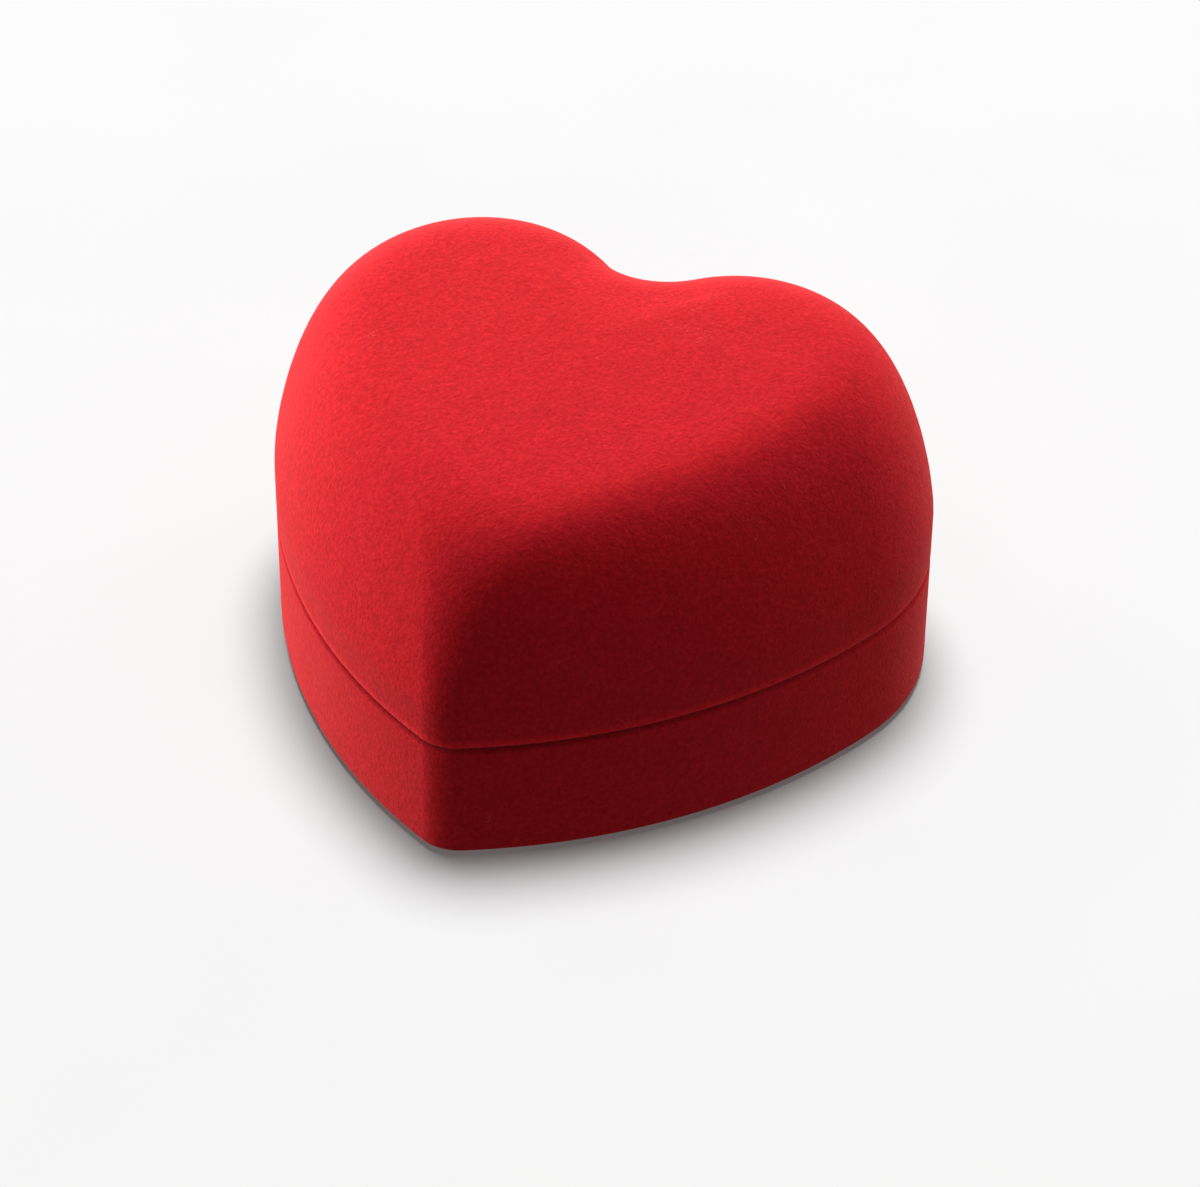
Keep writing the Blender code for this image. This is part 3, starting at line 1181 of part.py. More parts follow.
def build():
    flock = material("red_flock", (0.58, 0.015, 0.025), 0.95)
    felt = material("red_felt", (0.35, 0.015, 0.02), 0.95)
    satin = material("red_satin", (0.62, 0.03, 0.05), 0.35)
    clear = material("clear_plastic", (0.9, 0.93, 0.95), 0.08)
    steel = material("steel", (0.62, 0.62, 0.63), 0.3, 1.0)
    brass = material("brass", (0.78, 0.57, 0.25), 0.28, 1.0)
    zinc = material("cast_bed", (0.72, 0.62, 0.38), 0.4, 1.0)
    black = material("black_plastic", (0.02, 0.02, 0.02), 0.45)

    finish([make_base_shell(), make_tray()], flock)
    finish([make_base_felt()], felt)
    finish([make_trinket_pad()], satin)
    finish([make_cover()], clear)
    finish([make_bedplate(), make_barrel_bridge()], zinc)
    finish([make_hinge_pin(), make_comb(), *make_screws()], steel)
    finish([make_side_plate(), make_governor_cage()], brass)
    fixed = [obj for obj in PARTS.objects if obj.type == "MESH"]

    lid = finish([make_lid_shell()], flock) + finish([make_lid_lining()], satin)
    winder = finish([make_winding_arbor(), make_winding_key()], steel)
    barrel = finish([make_barrel_drum(), make_crown_wheel()], brass) + finish([make_mainspring()], steel)
    cylinder_pieces = [make_cylinder(), *make_cylinder_caps(), make_drive_pinion(), make_cylinder_gear()]
    cylinder = finish(cylinder_pieces, brass) + finish([make_cylinder_arbor()], steel)
    governor = finish([make_governor_arbor()], steel) + finish([make_worm_wheel()], brass)
    fly = finish([make_worm()], steel) + finish([make_fly()], black)
    stop = finish([make_stop_rod()], steel) + finish([make_stop_pad()], felt)

    back = HINGE_Y + max(KNUCKLE_RADIUS, -STOP_HEEL_RADIUS * math.cos(STOP_HEEL_ANGLE))
    front = min(y for _, y in heart())
    root = make_empty("music_box_root", (0, -(front + back) / 2, 0))
    bodies = {
        "lid_axis": ((0, HINGE_Y, SEAM_HEIGHT), lid),
        "key_axis": ((BARREL_X, AXIS_Y, KEY_BOTTOM), winder),
        "barrel_axis": ((BARREL_X, AXIS_Y, BARREL_BOTTOM), barrel),
        "cylinder_axis": ((CYLINDER_LEFT, AXIS_Y, AXIS_Z), cylinder),
        "governor_axis": ((WHEEL_X, GOVERNOR_Y, AXIS_Z), governor),
        "fly_axis": ((WORM_X, WORM_Y, FLY_BOTTOM), fly),
        "stop_axis": ((STOP_X, STOP_Y, STOP_ARM_Z), stop),
    }
    for name, (place, pieces) in bodies.items():
        axis = make_empty(name, place, root)
        for piece in pieces:
            piece.parent = axis
            piece.matrix_parent_inverse = Matrix.Translation(place).inverted()
    for obj in [*fixed, *CUTTERS.objects]:
        obj.parent = root
    bpy.context.view_layer.update()


build()
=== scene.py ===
"""Looks of the heart-shaped flocked music box.

Fine flocked shells, a flocked tray, a clear cover, satin lining and cushion, the finishes of the movement's
pieces, and then the floor, the lights and the camera.
"""

import json
import math

import bmesh
import bpy
from mathutils import Matrix, Vector

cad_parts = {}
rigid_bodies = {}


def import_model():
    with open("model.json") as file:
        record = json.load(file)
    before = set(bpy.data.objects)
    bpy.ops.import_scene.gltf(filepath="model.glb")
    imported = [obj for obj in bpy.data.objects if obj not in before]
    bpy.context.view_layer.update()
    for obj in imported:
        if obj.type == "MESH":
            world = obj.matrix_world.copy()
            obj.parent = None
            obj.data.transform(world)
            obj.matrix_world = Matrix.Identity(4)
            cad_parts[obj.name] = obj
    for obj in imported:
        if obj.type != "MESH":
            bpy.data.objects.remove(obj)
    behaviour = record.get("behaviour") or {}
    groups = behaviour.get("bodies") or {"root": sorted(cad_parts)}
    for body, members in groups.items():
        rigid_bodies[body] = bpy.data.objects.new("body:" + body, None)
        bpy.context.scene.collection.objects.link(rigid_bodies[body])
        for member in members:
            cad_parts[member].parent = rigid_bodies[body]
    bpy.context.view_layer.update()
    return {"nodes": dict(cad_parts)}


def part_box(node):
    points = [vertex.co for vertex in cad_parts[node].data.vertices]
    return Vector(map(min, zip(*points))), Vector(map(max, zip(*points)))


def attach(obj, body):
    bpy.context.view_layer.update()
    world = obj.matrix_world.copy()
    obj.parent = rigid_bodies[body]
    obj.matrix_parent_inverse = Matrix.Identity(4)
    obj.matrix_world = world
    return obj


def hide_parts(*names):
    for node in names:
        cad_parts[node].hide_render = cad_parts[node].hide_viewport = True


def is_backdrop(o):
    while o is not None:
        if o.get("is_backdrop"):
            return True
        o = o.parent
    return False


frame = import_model()
NODES = frame["nodes"]
MM = 0.001
CLEARANCE = 0.3 * MM
OVERLAP = 0.1 * MM  # how far a piece reaches into the one that it is joined to
CUT_MARGIN = 1 * MM  # how far a cutter stands out of what it cuts

# The same sizes as the solid model.
HEART_WIDTH = 100.0 * MM
LOBE_RADIUS = 29.9 * MM
LOBE_CENTRE_Y = 4.3 * MM
LOBE_END_ANGLE = -0.400
SIDE_RADIUS = 92.3 * MM
TIP_RADIUS = 6.5 * MM
TIP_GROWTH = 1.07
NOTCH_RADIUS = 1.5 * MM
NOTCH_GROWTH = 1.19
CROWN_Z = 53.5 * MM
SEAM_HEIGHT = 19.1 * MM
SEAM_GAP = 0.4 * MM
WALL = 2.4 * MM
FLOOR_BOTTOM = 1.2 * MM
FLOOR_TOP = 3.0 * MM
FOOT_HEIGHT = 0.4 * MM
BOTTOM_ROUNDING = 1.1 * MM
BASE_RIM_ROUNDING = 0.7 * MM
LID_RIM_ROUNDING = 0.9 * MM
FELT_INSET = 2.6 * MM
FELT_EDGE = 0.25 * MM
LID_SHOULDER_HEIGHT = 7.4 * MM
LID_CROWN_HEIGHT = 3.0 * MM
LID_ROUNDING_REACH = 17.6 * MM
LID_SIDE_EXPONENT = 2.85
LID_TOP_EXPONENT = 1.36
LID_CROWN_SPAN = 33.0 * MM
LID_CENTRE_Y = -1.6 * MM
LID_TILT = 0.293
LID_LEVEL_Y = -9.0 * MM
LINING_THICKNESS = 1.8 * MM
LINING_BOTTOM = 5.2 * MM
STITCH_PITCH = 11 * MM
STITCH_DEPTH = 0.9 * MM
HINGE_Y = LOBE_CENTRE_Y + LOBE_RADIUS + 1.6 * MM
KNUCKLE_RADIUS = 2.2 * MM
HINGE_PIN_RADIUS = 0.8 * MM
LID_KNUCKLE_HALF = 2.6 * MM
BASE_KNUCKLE_WIDTH = 2.6 * MM
HINGE_ARM_THICKNESS = 1.8 * MM
KNUCKLE_EDGE = 0.25 * MM
LUG_EDGE = 0.2 * MM
STOP_HEEL_RADIUS = 3.4 * MM
STOP_HEEL_HALF = 0.6 * MM
STOP_HEEL_ANGLE = math.radians(150)
STOP_BAR_THICKNESS = 1.8 * MM
STOP_BAR_EDGE = 0.3 * MM
TRAY_LIP_HEIGHT = 2.3 * MM
TRAY_LIP_WIDTH = 1.4 * MM
TRAY_DROP = 2.8 * MM  # from the seam down to the underside of the tray
TRAY_THICKNESS = 1.5 * MM
TRAY_FILLET = 0.5 * MM
TRAY_EDGE = 0.3 * MM
WELL_WALL = 1.2 * MM
WELL_DEPTH = 5.9 * MM
WELL_GAP = 1.8 * MM  # from the tray's lip to the well
WELL_BACK = -26.35 * MM
POST_RADIUS = 2.5 * MM
SIDE_POST_X = 39.0 * MM
SIDE_POST_Y = 3.0 * MM
FRONT_POST_Y = -42.0 * MM
BOSS_RADIUS = 3.0 * MM
SCREW_HOLE_RADIUS = 1.2 * MM
SCREW_HOLE_DEPTH = 7.5 * MM
BED_THICKNESS = 1.5 * MM
ARBOR_RADIUS = 1.5 * MM
RECESS_RADIUS = 15.5 * MM
RECESS_WALL = 1.6 * MM
RECESS_CEILING = 8.8 * MM
STOP_X = -39.99 * MM
STOP_Y = 12.0 * MM
STOP_RADIUS = 0.7 * MM
STOP_TAB_BOTTOM = 3.0 * MM
STOP_TAB_THICKNESS = 1.6 * MM
STOP_TAB_HALF = 2.0 * MM
STOP_TAB_EDGE = 0.35 * MM
WIDE_SIDES = 80  # faces round the key's recess
COVER_WALL = 1.2 * MM
COVER_CORNER = 3.0 * MM
COVER_FILLET = 1.6 * MM
COVER_INNER_FILLET = COVER_FILLET - 0.9 * MM
WINDOW_MARGIN = 1.5 * MM
WINDOW_CORNER = 1.8 * MM
CUSHION_GAP = 1.3 * MM
CUSHION_DIMPLE_RADIUS = 4 * MM
CUSHION_DIMPLE_DEPTH = 0.9 * MM
# For each dome: the sections of its rounding, and the shrinking hearts on its crown.
LID_DOME_STEPS = (44, 16)
LID_INSIDE_STEPS = (16, 4)
LINING_OUTSIDE_STEPS = (12, 3)
LINING_INSIDE_STEPS = (40, 14)
DOME_WALL_SECTIONS = 4


# ---------------------------------------------------------------- outline and sections


def arc(centre, radius, start, end, steps):
    """Points along an arc, without its first one."""
    angles = [start + (end - start) * i / steps for i in range(1, steps + 1)]
    return [(centre[0] + radius * math.cos(a), centre[1] + radius * math.sin(a)) for a in angles]


def heart(inset=0.0):
    """The heart's outline, moved in by inset, counter-clockwise from the notch."""
    lobe = (HEART_WIDTH / 2 - LOBE_RADIUS, LOBE_CENTRE_Y)
    lobe_radius = LOBE_RADIUS - inset
    notch_radius = NOTCH_RADIUS + NOTCH_GROWTH * inset
    notch = (0.0, lobe[1] + math.sqrt((lobe_radius + notch_radius) ** 2 - lobe[0] ** 2))
    lobe_start = math.atan2(notch[1] - lobe[1], -lobe[0])
    reach = LOBE_RADIUS - SIDE_RADIUS
    side = (lobe[0] + reach * math.cos(LOBE_END_ANGLE), lobe[1] + reach * math.sin(LOBE_END_ANGLE))
    side_radius = SIDE_RADIUS - inset
    tip_radius = TIP_RADIUS + TIP_GROWTH * inset
    tip = (0.0, side[1] - math.sqrt((side_radius - tip_radius) ** 2 - side[0] ** 2))
    side_end = math.atan2(tip[1] - side[1], -side[0])
    right = [(0.0, notch[1] - notch_radius)]
    right += arc(notch, notch_radius, -math.pi / 2, lobe_start - math.pi, 8)
    right += arc(lobe, lobe_radius, lobe_start, LOBE_END_ANGLE, 38)
    right += arc(side, side_radius, LOBE_END_ANGLE, side_end, 26)
    right += arc(tip, tip_radius, side_end, -math.pi / 2, 10)
    left = [(-x, y) for x, y in right[1:-1]]
    return (right + left[::-1])[::-1]


HEART_FRONT = min(y for _, y in heart())
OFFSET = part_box("base_shell")[0].y - HEART_FRONT
SHIFT = Matrix.Translation((0, OFFSET, 0))


def in_front_of(outline, limit):
    """The part of a closed outline with y below limit."""
    kept = []
    for (x0, y0), (x1, y1) in zip(outline, outline[1:] + outline[:1]):
        if y0 < limit:
            kept.append((x0, y0))
        if (y0 < limit) != (y1 < limit):
            kept.append((x0 + (x1 - x0) * (limit - y0) / (y1 - y0), limit))
    return kept


def outline_area(points):
    pairs = zip(points, points[1:] + points[:1])
    return abs(sum(x0 * y1 - x1 * y0 for (x0, y0), (x1, y1) in pairs)) / 2


def rounded_rectangle(left, right, front, back, radius, steps=8):
    """A closed rectangle with round corners, counter-clockwise from its right side."""
    corners = ((right, back, -1, -1), (left, back, 1, -1), (left, front, 1, 1), (right, front, -1, 1))
    points = []
    for quarter, (x, y, inward_x, inward_y) in enumerate(corners):
        centre = (x + radius * inward_x, y + radius * inward_y)
        start = quarter * math.pi / 2
        points.append((centre[0] + radius * math.cos(start), centre[1] + radius * math.sin(start)))
        points += arc(centre, radius, start, start + math.pi / 2, steps)
    return points


def level(outline, z):
    return [(x, y, z) for x, y in outline]


def tilted(section):
    """The lid grows a little higher towards the back of the heart."""
    out = []
    for x, y, z in section:
        growth = 1 + LID_TILT * (y - LID_LEVEL_Y) / HEART_WIDTH
        out.append((x, y, SEAM_HEIGHT + (z - SEAM_HEIGHT) * growth))
    return out


def dome(inset, bottom, steps, shares):
    """Heart sections of the lid's surface moved in by inset, from the height bottom up to the top.

    steps counts the sections of the rounding, and shares those of the shrinking hearts on the crown.
    """
    shoulder = SEAM_HEIGHT + LID_SHOULDER_HEIGHT
    rise = CROWN_Z - shoulder - LID_CROWN_HEIGHT - inset
    reach = LID_ROUNDING_REACH - inset
    span = LID_CROWN_SPAN - inset

    def crowned(share):
        return LID_CROWN_HEIGHT * (1 - (1 - share) ** 2)

    walls = DOME_WALL_SECTIONS
    sections = [level(heart(inset), bottom + (shoulder - bottom) * i / walls) for i in range(walls)]
    for step in range(steps + 1):
        angle = step / steps * math.pi / 2
        closing = 1 - math.cos(angle) ** (2 / LID_SIDE_EXPONENT) if step < steps else 1
        height = rise * math.sin(angle) ** (2 / LID_TOP_EXPONENT)
        z = shoulder + height + crowned(reach * closing / span)
        sections.append(level(heart(inset + reach * closing), z))
    last = sections[-1]
    start = reach / span
    for i in range(1, shares + 1):
        share = 1 - i / (shares + 0.6)
        z = shoulder + rise + crowned(start + (1 - start) * (1 - share))
        sections.append([(x * share, LID_CENTRE_Y + (y - LID_CENTRE_Y) * share, z) for x, y, _ in last])
    return [tilted(section) for section in sections]


# ---------------------------------------------------------------- mesh helpers


def add_object(name, mesh):
    obj = bpy.data.objects.new(name, mesh)
    bpy.context.scene.collection.objects.link(obj)
    return obj


def mesh_from(name, build):
    mesh = bpy.data.meshes.new(name)
    bm = bmesh.new()
    build(bm)
    bmesh.ops.recalc_face_normals(bm, faces=bm.faces)
    bm.to_mesh(mesh)
    bm.free()
    return mesh


def loft(name, sections):
    """A closed solid through sections of equal point counts, capped at both ends."""

    def build(bm):
        rings = [[bm.verts.new(point) for point in section] for section in sections]
        for low, high in zip(rings, rings[1:]):
            for i in range(len(low)):
                j = (i + 1) % len(low)
                bm.faces.new((low[i], low[j], high[j], high[i]))
        bm.faces.new(rings[0])
        bm.faces.new(rings[-1])

    return add_object(name, mesh_from(name, build))


def block(name, low, high):
    def build(bm):
        bmesh.ops.create_cube(bm, size=1)
        size = [b - a for a, b in zip(low, high)]
        centre = [(a + b) / 2 for a, b in zip(low, high)]
        place = Matrix.Translation(centre) @ Matrix.Diagonal((*size, 1))
        bmesh.ops.transform(bm, matrix=place, verts=bm.verts)

    return add_object(name, mesh_from(name, build))


def rod(name, radius, x, y, bottom, top, sides=48):
    def build(bm):
        size = {"radius1": radius, "radius2": radius, "depth": top - bottom}
        bmesh.ops.create_cone(bm, cap_ends=True, segments=sides, **size)
        bmesh.ops.translate(bm, vec=(x, y, (bottom + top) / 2), verts=bm.verts)

    return add_object(name, mesh_from(name, build))


def cross_rod(name, radius, left, right, y, z, sides=48):
    obj = rod(name, radius, 0, 0, left, right, sides)
    obj.data.transform(Matrix.Translation((0, y, z)) @ Matrix.Rotation(math.pi / 2, 4, "Y"))
    return obj


def applied(obj):
    """Makes the object's modifiers part of its mesh."""
    bpy.context.view_layer.update()
    mesh = bpy.data.meshes.new_from_object(obj.evaluated_get(bpy.context.evaluated_depsgraph_get()))
    mesh.name = obj.name
    obj.modifiers.clear()
    obj.data = mesh
    return obj


def combine(target, tools, operation):
    for tool in tools:
        boolean = target.modifiers.new(operation.lower(), "BOOLEAN")
        boolean.operation = operation
        boolean.solver = "EXACT"
        boolean.object = tool
    applied(target)
    for tool in tools:
        bpy.data.objects.remove(tool)
    return target


def bevelled(obj, width, segments=3, angle=35):
    bevel = obj.modifiers.new("edges", "BEVEL")
    bevel.width = width
    bevel.segments = segments
    bevel.limit_method = "ANGLE"
    bevel.angle_limit = math.radians(angle)
    return applied(obj)


def dressed(obj, surface, body, *replaced, sharp_angle=40):
    """Places a finished piece: material, smooth shading, the CAD nodes that it stands for, its body."""
    obj.data.materials.clear()
    obj.data.materials.append(surface)
    obj.data.shade_smooth()
    obj.data.set_sharp_from_angle(angle=math.radians(sharp_angle))
    obj.data.transform(SHIFT)
    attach(obj, body)
    if replaced:
        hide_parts(*replaced)
    return obj


# ---------------------------------------------------------------- materials


class Nodes:
    """A material's node tree, with short ways to add the nodes used here."""

    def __init__(self, name):
        self.material = bpy.data.materials.new(name)
        self.material.use_nodes = True
        self.tree = self.material.node_tree
        self.shader = self.tree.nodes["Principled BSDF"]
        self.place = self.tree.nodes.new("ShaderNodeTexCoord").outputs["Object"]

    def link(self, source, target):
        self.tree.links.new(source, target)

    def noise(self, scale, detail=3.0, roughness=0.55, stretch=None, distortion=0.0):
        node = self.tree.nodes.new("ShaderNodeTexNoise")
        node.inputs["Scale"].default_value = scale
        node.inputs["Detail"].default_value = detail
        node.inputs["Roughness"].default_value = roughness
        node.inputs["Distortion"].default_value = distortion
        source = self.place
        if stretch:
            mapping = self.tree.nodes.new("ShaderNodeMapping")
            mapping.inputs["Scale"].default_value = stretch
            self.link(source, mapping.inputs["Vector"])
            source = mapping.outputs["Vector"]
        self.link(source, node.inputs["Vector"])
        return node.outputs["Fac"]

    def ramp(self, value, *stops):
        node = self.tree.nodes.new("ShaderNodeValToRGB")
        elements = node.color_ramp.elements
        while len(elements) < len(stops):
            elements.new(0.5)
        for element, (position, colour) in zip(elements, stops):
            element.position = position
            element.color = (*colour, 1)
        self.link(value, node.inputs["Fac"])
        return node.outputs["Color"]

    def height(self):
        """Height in millimetres above the seam, in the piece's own rest place."""
        node = self.tree.nodes.new("ShaderNodeSeparateXYZ")
        self.link(self.place, node.inputs["Vector"])
        return self.math("MULTIPLY", self.math("SUBTRACT", node.outputs["Z"], SEAM_HEIGHT), 1 / MM)

    def spread(self, value, low, high, from_low=0.3, from_high=0.7):
        node = self.tree.nodes.new("ShaderNodeMapRange")
        node.inputs["From Min"].default_value = from_low
        node.inputs["From Max"].default_value = from_high
        node.inputs["To Min"].default_value = low
        node.inputs["To Max"].default_value = high
        self.link(value, node.inputs["Value"])
        return node.outputs["Result"]

    def math(self, operation, first, second):
        node = self.tree.nodes.new("ShaderNodeMath")
        node.operation = operation
        for socket, value in zip(node.inputs, (first, second)):
            if isinstance(value, (int, float)):
                socket.default_value = value
            else:
                self.link(value, socket)
        return node.outputs["Value"]

    def mix(self, share, first, second):
        """A share of the plain colour second laid over the changing colour first."""
        node = self.tree.nodes.new("ShaderNodeMix")
        node.data_type = "RGBA"
        self.link(share, node.inputs["Factor"])
        under, over = [s for s in node.inputs if s.type == "RGBA"]
        self.link(first, under)
        over.default_value = (*second, 1)
        return [s for s in node.outputs if s.type == "RGBA"][0]

    def scaled(self, colour, amount):
        node = self.tree.nodes.new("ShaderNodeVectorMath")
        node.operation = "SCALE"
        self.link(colour, node.inputs[0])
        self.link(amount, node.inputs["Scale"])
        return node.outputs["Vector"]

    def bump(self, height, strength, distance, normal=None):
        node = self.tree.nodes.new("ShaderNodeBump")
        node.inputs["Strength"].default_value = strength
        node.inputs["Distance"].default_value = distance
        self.link(height, node.inputs["Height"])
        if normal is not None:
            self.link(normal, node.inputs["Normal"])
        self.link(node.outputs["Normal"], self.shader.inputs["Normal"])
        return node.outputs["Normal"]

    def set(self, **values):
        for name, value in values.items():
            socket = self.shader.inputs[name.replace("_", " ")]
            if isinstance(value, tuple):
                socket.default_value = (*value, 1)
            elif isinstance(value, (int, float)):
                socket.default_value = value
            else:
                self.link(value, socket)


def flock(name, dark, middle, light, sheen, seam=False):
    """Short dense pile: colour speckled at the scale of the fibres, soft mottling, a few lint threads, and
    with seam set, painted shade at the seam and a painted highlight over the lid's rim.
    """
    n = Nodes(name)
    grain = n.noise(1500, 4.0, 0.62)
    colour = n.ramp(grain, (0.30, dark), (0.50, middle), (0.72, light))
    tone = n.spread(n.noise(260, 2.0), 0.96, 1.04)
    if seam:
        # Painted shade and painted highlight: the colour darkens to 0.42 within 0.12 mm of the seam and comes
        # back to full by 0.75 mm, and a painted highlight lifts it up to 1.5 times in a band from 0.25 to 2.1
        # mm above the seam, over the lid's rounded rim.
        height = n.height()
        below = n.spread(n.math("ABSOLUTE", height, 0.0), 0.42, 1.0, 0.12, 0.75)
        painted_rim_highlight_rise = n.spread(height, 0.0, 0.5, 0.25, 0.75)
        rim = n.math("MULTIPLY", painted_rim_highlight_rise, n.spread(height, 1.0, 0.0, 0.9, 2.1))
        tone = n.math("MULTIPLY", n.math("MULTIPLY", tone, below), n.math("ADD", rim, 1.0))
    thread = n.noise(240, 1.0, 0.4, stretch=(1.0, 3.4, 2.2), distortion=1.4)
    line = n.math("ABSOLUTE", n.math("SUBTRACT", thread, 0.5), 0.0)
    thin = n.spread(line, 1.0, 0.0, 0.0, 0.006)
    here = n.spread(n.noise(120, 0.0), 0.0, 1.0, 0.70, 0.74)
    lint = n.math("MULTIPLY", n.math("MULTIPLY", thin, here), 0.35)
    n.set(
        Base_Color=n.mix(lint, n.scaled(colour, tone), (0.75, 0.16, 0.18)),
        Roughness=0.94,
        Specular_IOR_Level=0.1,
        Sheen_Weight=sheen,
        Sheen_Roughness=0.38,
        Sheen_Tint=(1.0, 0.43, 0.34),
    )
    pile = n.noise(2100, 3.0, 0.6)
    first = n.bump(pile, 0.5, 0.00022)
    n.bump(n.noise(620, 2.0, 0.5), 0.22, 0.00030, first)
    return n.material


def felt(name, dark, light):
    """Pressed wool: matted fibres, no gloss."""
    n = Nodes(name)
    wool = n.noise(900, 5.0, 0.7, distortion=1.2)
    n.set(
        Base_Color=n.ramp(wool, (0.3, dark), (0.7, light)),
        Roughness=0.97,
        Specular_IOR_Level=0.1,
        Sheen_Weight=0.5,
        Sheen_Roughness=0.5,
        Sheen_Tint=(1.0, 0.6, 0.6),
    )
    n.bump(wool, 0.7, 0.0004)
    return n.material


def satin(name, dark, light):
    """Woven satin: fine floats along one way, slow changes of tone, a soft highlight."""
    n = Nodes(name)
    floats = n.noise(420, 2.0, 0.5, stretch=(9.0, 1.0, 1.0))
    tone = n.noise(60, 2.0, 0.5)
    both = n.math("ADD", n.math("MULTIPLY", floats, 0.5), n.math("MULTIPLY", tone, 0.5))
    n.set(
        Base_Color=n.ramp(both, (0.35, dark), (0.65, light)),
        Roughness=n.spread(floats, 0.30, 0.44),
        Anisotropic=0.45,
        Sheen_Weight=0.35,
        Sheen_Roughness=0.3,
        Sheen_Tint=(1.0, 0.7, 0.7),
        Specular_IOR_Level=0.5,
    )
    n.bump(floats, 0.25, 0.0001)
    return n.material


def metal(name, dark, light, roughness, stretch, scale=700, bump=0.12):
    """Brushed or cast metal: streaks along one way, slight stains, roughness that follows both."""
    n = Nodes(name)
    streaks = n.noise(scale, 3.0, 0.6, stretch=stretch)
    stains = n.noise(110, 3.0, 0.6)
    both = n.math("ADD", n.math("MULTIPLY", streaks, 0.45), n.math("MULTIPLY", stains, 0.55))
    n.set(
        Base_Color=n.ramp(both, (0.34, dark), (0.64, light)),
        Metallic=1.0,
        Roughness=n.spread(both, roughness * 0.75, roughness * 1.3),
    )
    n.bump(streaks, bump, 0.00006)
    return n.material


def plastic(name, dark, light, roughness):
    """Moulded plastic with a fine satin grain."""
    n = Nodes(name)
    grain = n.noise(1300, 2.0, 0.5)
    n.set(
        Base_Color=n.ramp(grain, (0.3, dark), (0.7, light)),
        Roughness=n.spread(grain, roughness * 0.85, roughness * 1.15),
        Specular_IOR_Level=0.45,
    )
    n.bump(grain, 0.15, 0.00008)
    return n.material


def clear_plastic(name):
    """Clear acrylic with faint haze and a slightly uneven face."""
    n = Nodes(name)
    haze = n.noise(70, 3.0, 0.6)
    n.set(
        Base_Color=n.ramp(haze, (0.3, (0.93, 0.95, 0.96)), (0.7, (0.985, 0.99, 0.99))),
        Roughness=n.spread(haze, 0.015, 0.05),
        IOR=1.49,
        Transmission_Weight=1.0,
    )
    n.bump(n.noise(45, 1.0), 0.05, 0.0002)
    return n.material


BOX_REDS = ((0.46, 0.0055, 0.011), (0.56, 0.008, 0.016), (0.68, 0.0135, 0.022))
TRAY_REDS = ((0.34, 0.005, 0.012), (0.52, 0.010, 0.023), (0.74, 0.022, 0.036))
# The shells' flock gets painted shade along the seam and a painted highlight over the lid's rounded rim.
FLOCK = flock("red_flock", *BOX_REDS, 0.16, seam=True)
TRAY_FLOCK = flock("red_tray_flock", *TRAY_REDS, 0.30)
FELT = felt("red_wool_felt", (0.22, 0.006, 0.012), (0.42, 0.016, 0.026))
SATIN = satin("red_satin", (0.46, 0.010, 0.020), (0.70, 0.028, 0.042))
STEEL = metal("brushed_steel", (0.48, 0.48, 0.50), (0.74, 0.74, 0.75), 0.27, (1.0, 7.0, 7.0))
NICKEL = metal("nickel_plate", (0.60, 0.59, 0.56), (0.80, 0.79, 0.76), 0.20, (6.0, 1.0, 1.0), bump=0.06)
COMB_STEEL = metal("ground_comb_steel", (0.5, 0.51, 0.53), (0.78, 0.79, 0.8), 0.24, (9.0, 1.0, 1.0), bump=0.2)
BRASS = metal("turned_brass", (0.66, 0.43, 0.15), (0.86, 0.63, 0.29), 0.24, (1.0, 5.0, 5.0))
CAST = metal("gilt_cast_zinc", (0.6, 0.46, 0.22), (0.8, 0.66, 0.38), 0.4, (1, 1, 1), scale=1300, bump=0.4)
SPRING = metal("blued_spring_steel", (0.10, 0.11, 0.16), (0.24, 0.26, 0.32), 0.26, (1.0, 1.0, 6.0))
BLACK = plastic("black_nylon", (0.012, 0.012, 0.013), (0.035, 0.035, 0.037), 0.42)
CLEAR = clear_plastic("clear_acrylic")


# ---------------------------------------------------------------- flocked box


def rounded_rim(z, inward, radius, up, steps=6):
    """Sections that turn the outer wall over into a flat rim: up is 1 above the wall, -1 below it."""
    sections = []
    for i in range(steps + 1):
        angle = i / steps * math.pi / 2
        outline = heart(inward * (1 - math.cos(angle)))
        sections.append(level(outline, z - up * radius * (1 - math.sin(angle))))
    return sections


def hinge_knuckle(left, right):
    knuckle = cross_rod("knuckle", KNUCKLE_RADIUS, left, right, HINGE_Y, SEAM_HEIGHT)
    return bevelled(knuckle, KNUCKLE_EDGE)


def hinge_bore(name):
    span = LID_KNUCKLE_HALF + BASE_KNUCKLE_WIDTH + CUT_MARGIN
    return cross_rod(name, HINGE_PIN_RADIUS + CLEARANCE, -span, span, HINGE_Y, SEAM_HEIGHT)


def notch_depth_at(x):
    """The y of the lobe's back at a distance x from the middle plane."""
    lobe_x = HEART_WIDTH / 2 - LOBE_RADIUS
    return LOBE_CENTRE_Y + math.sqrt(LOBE_RADIUS**2 - (lobe_x - x) ** 2)


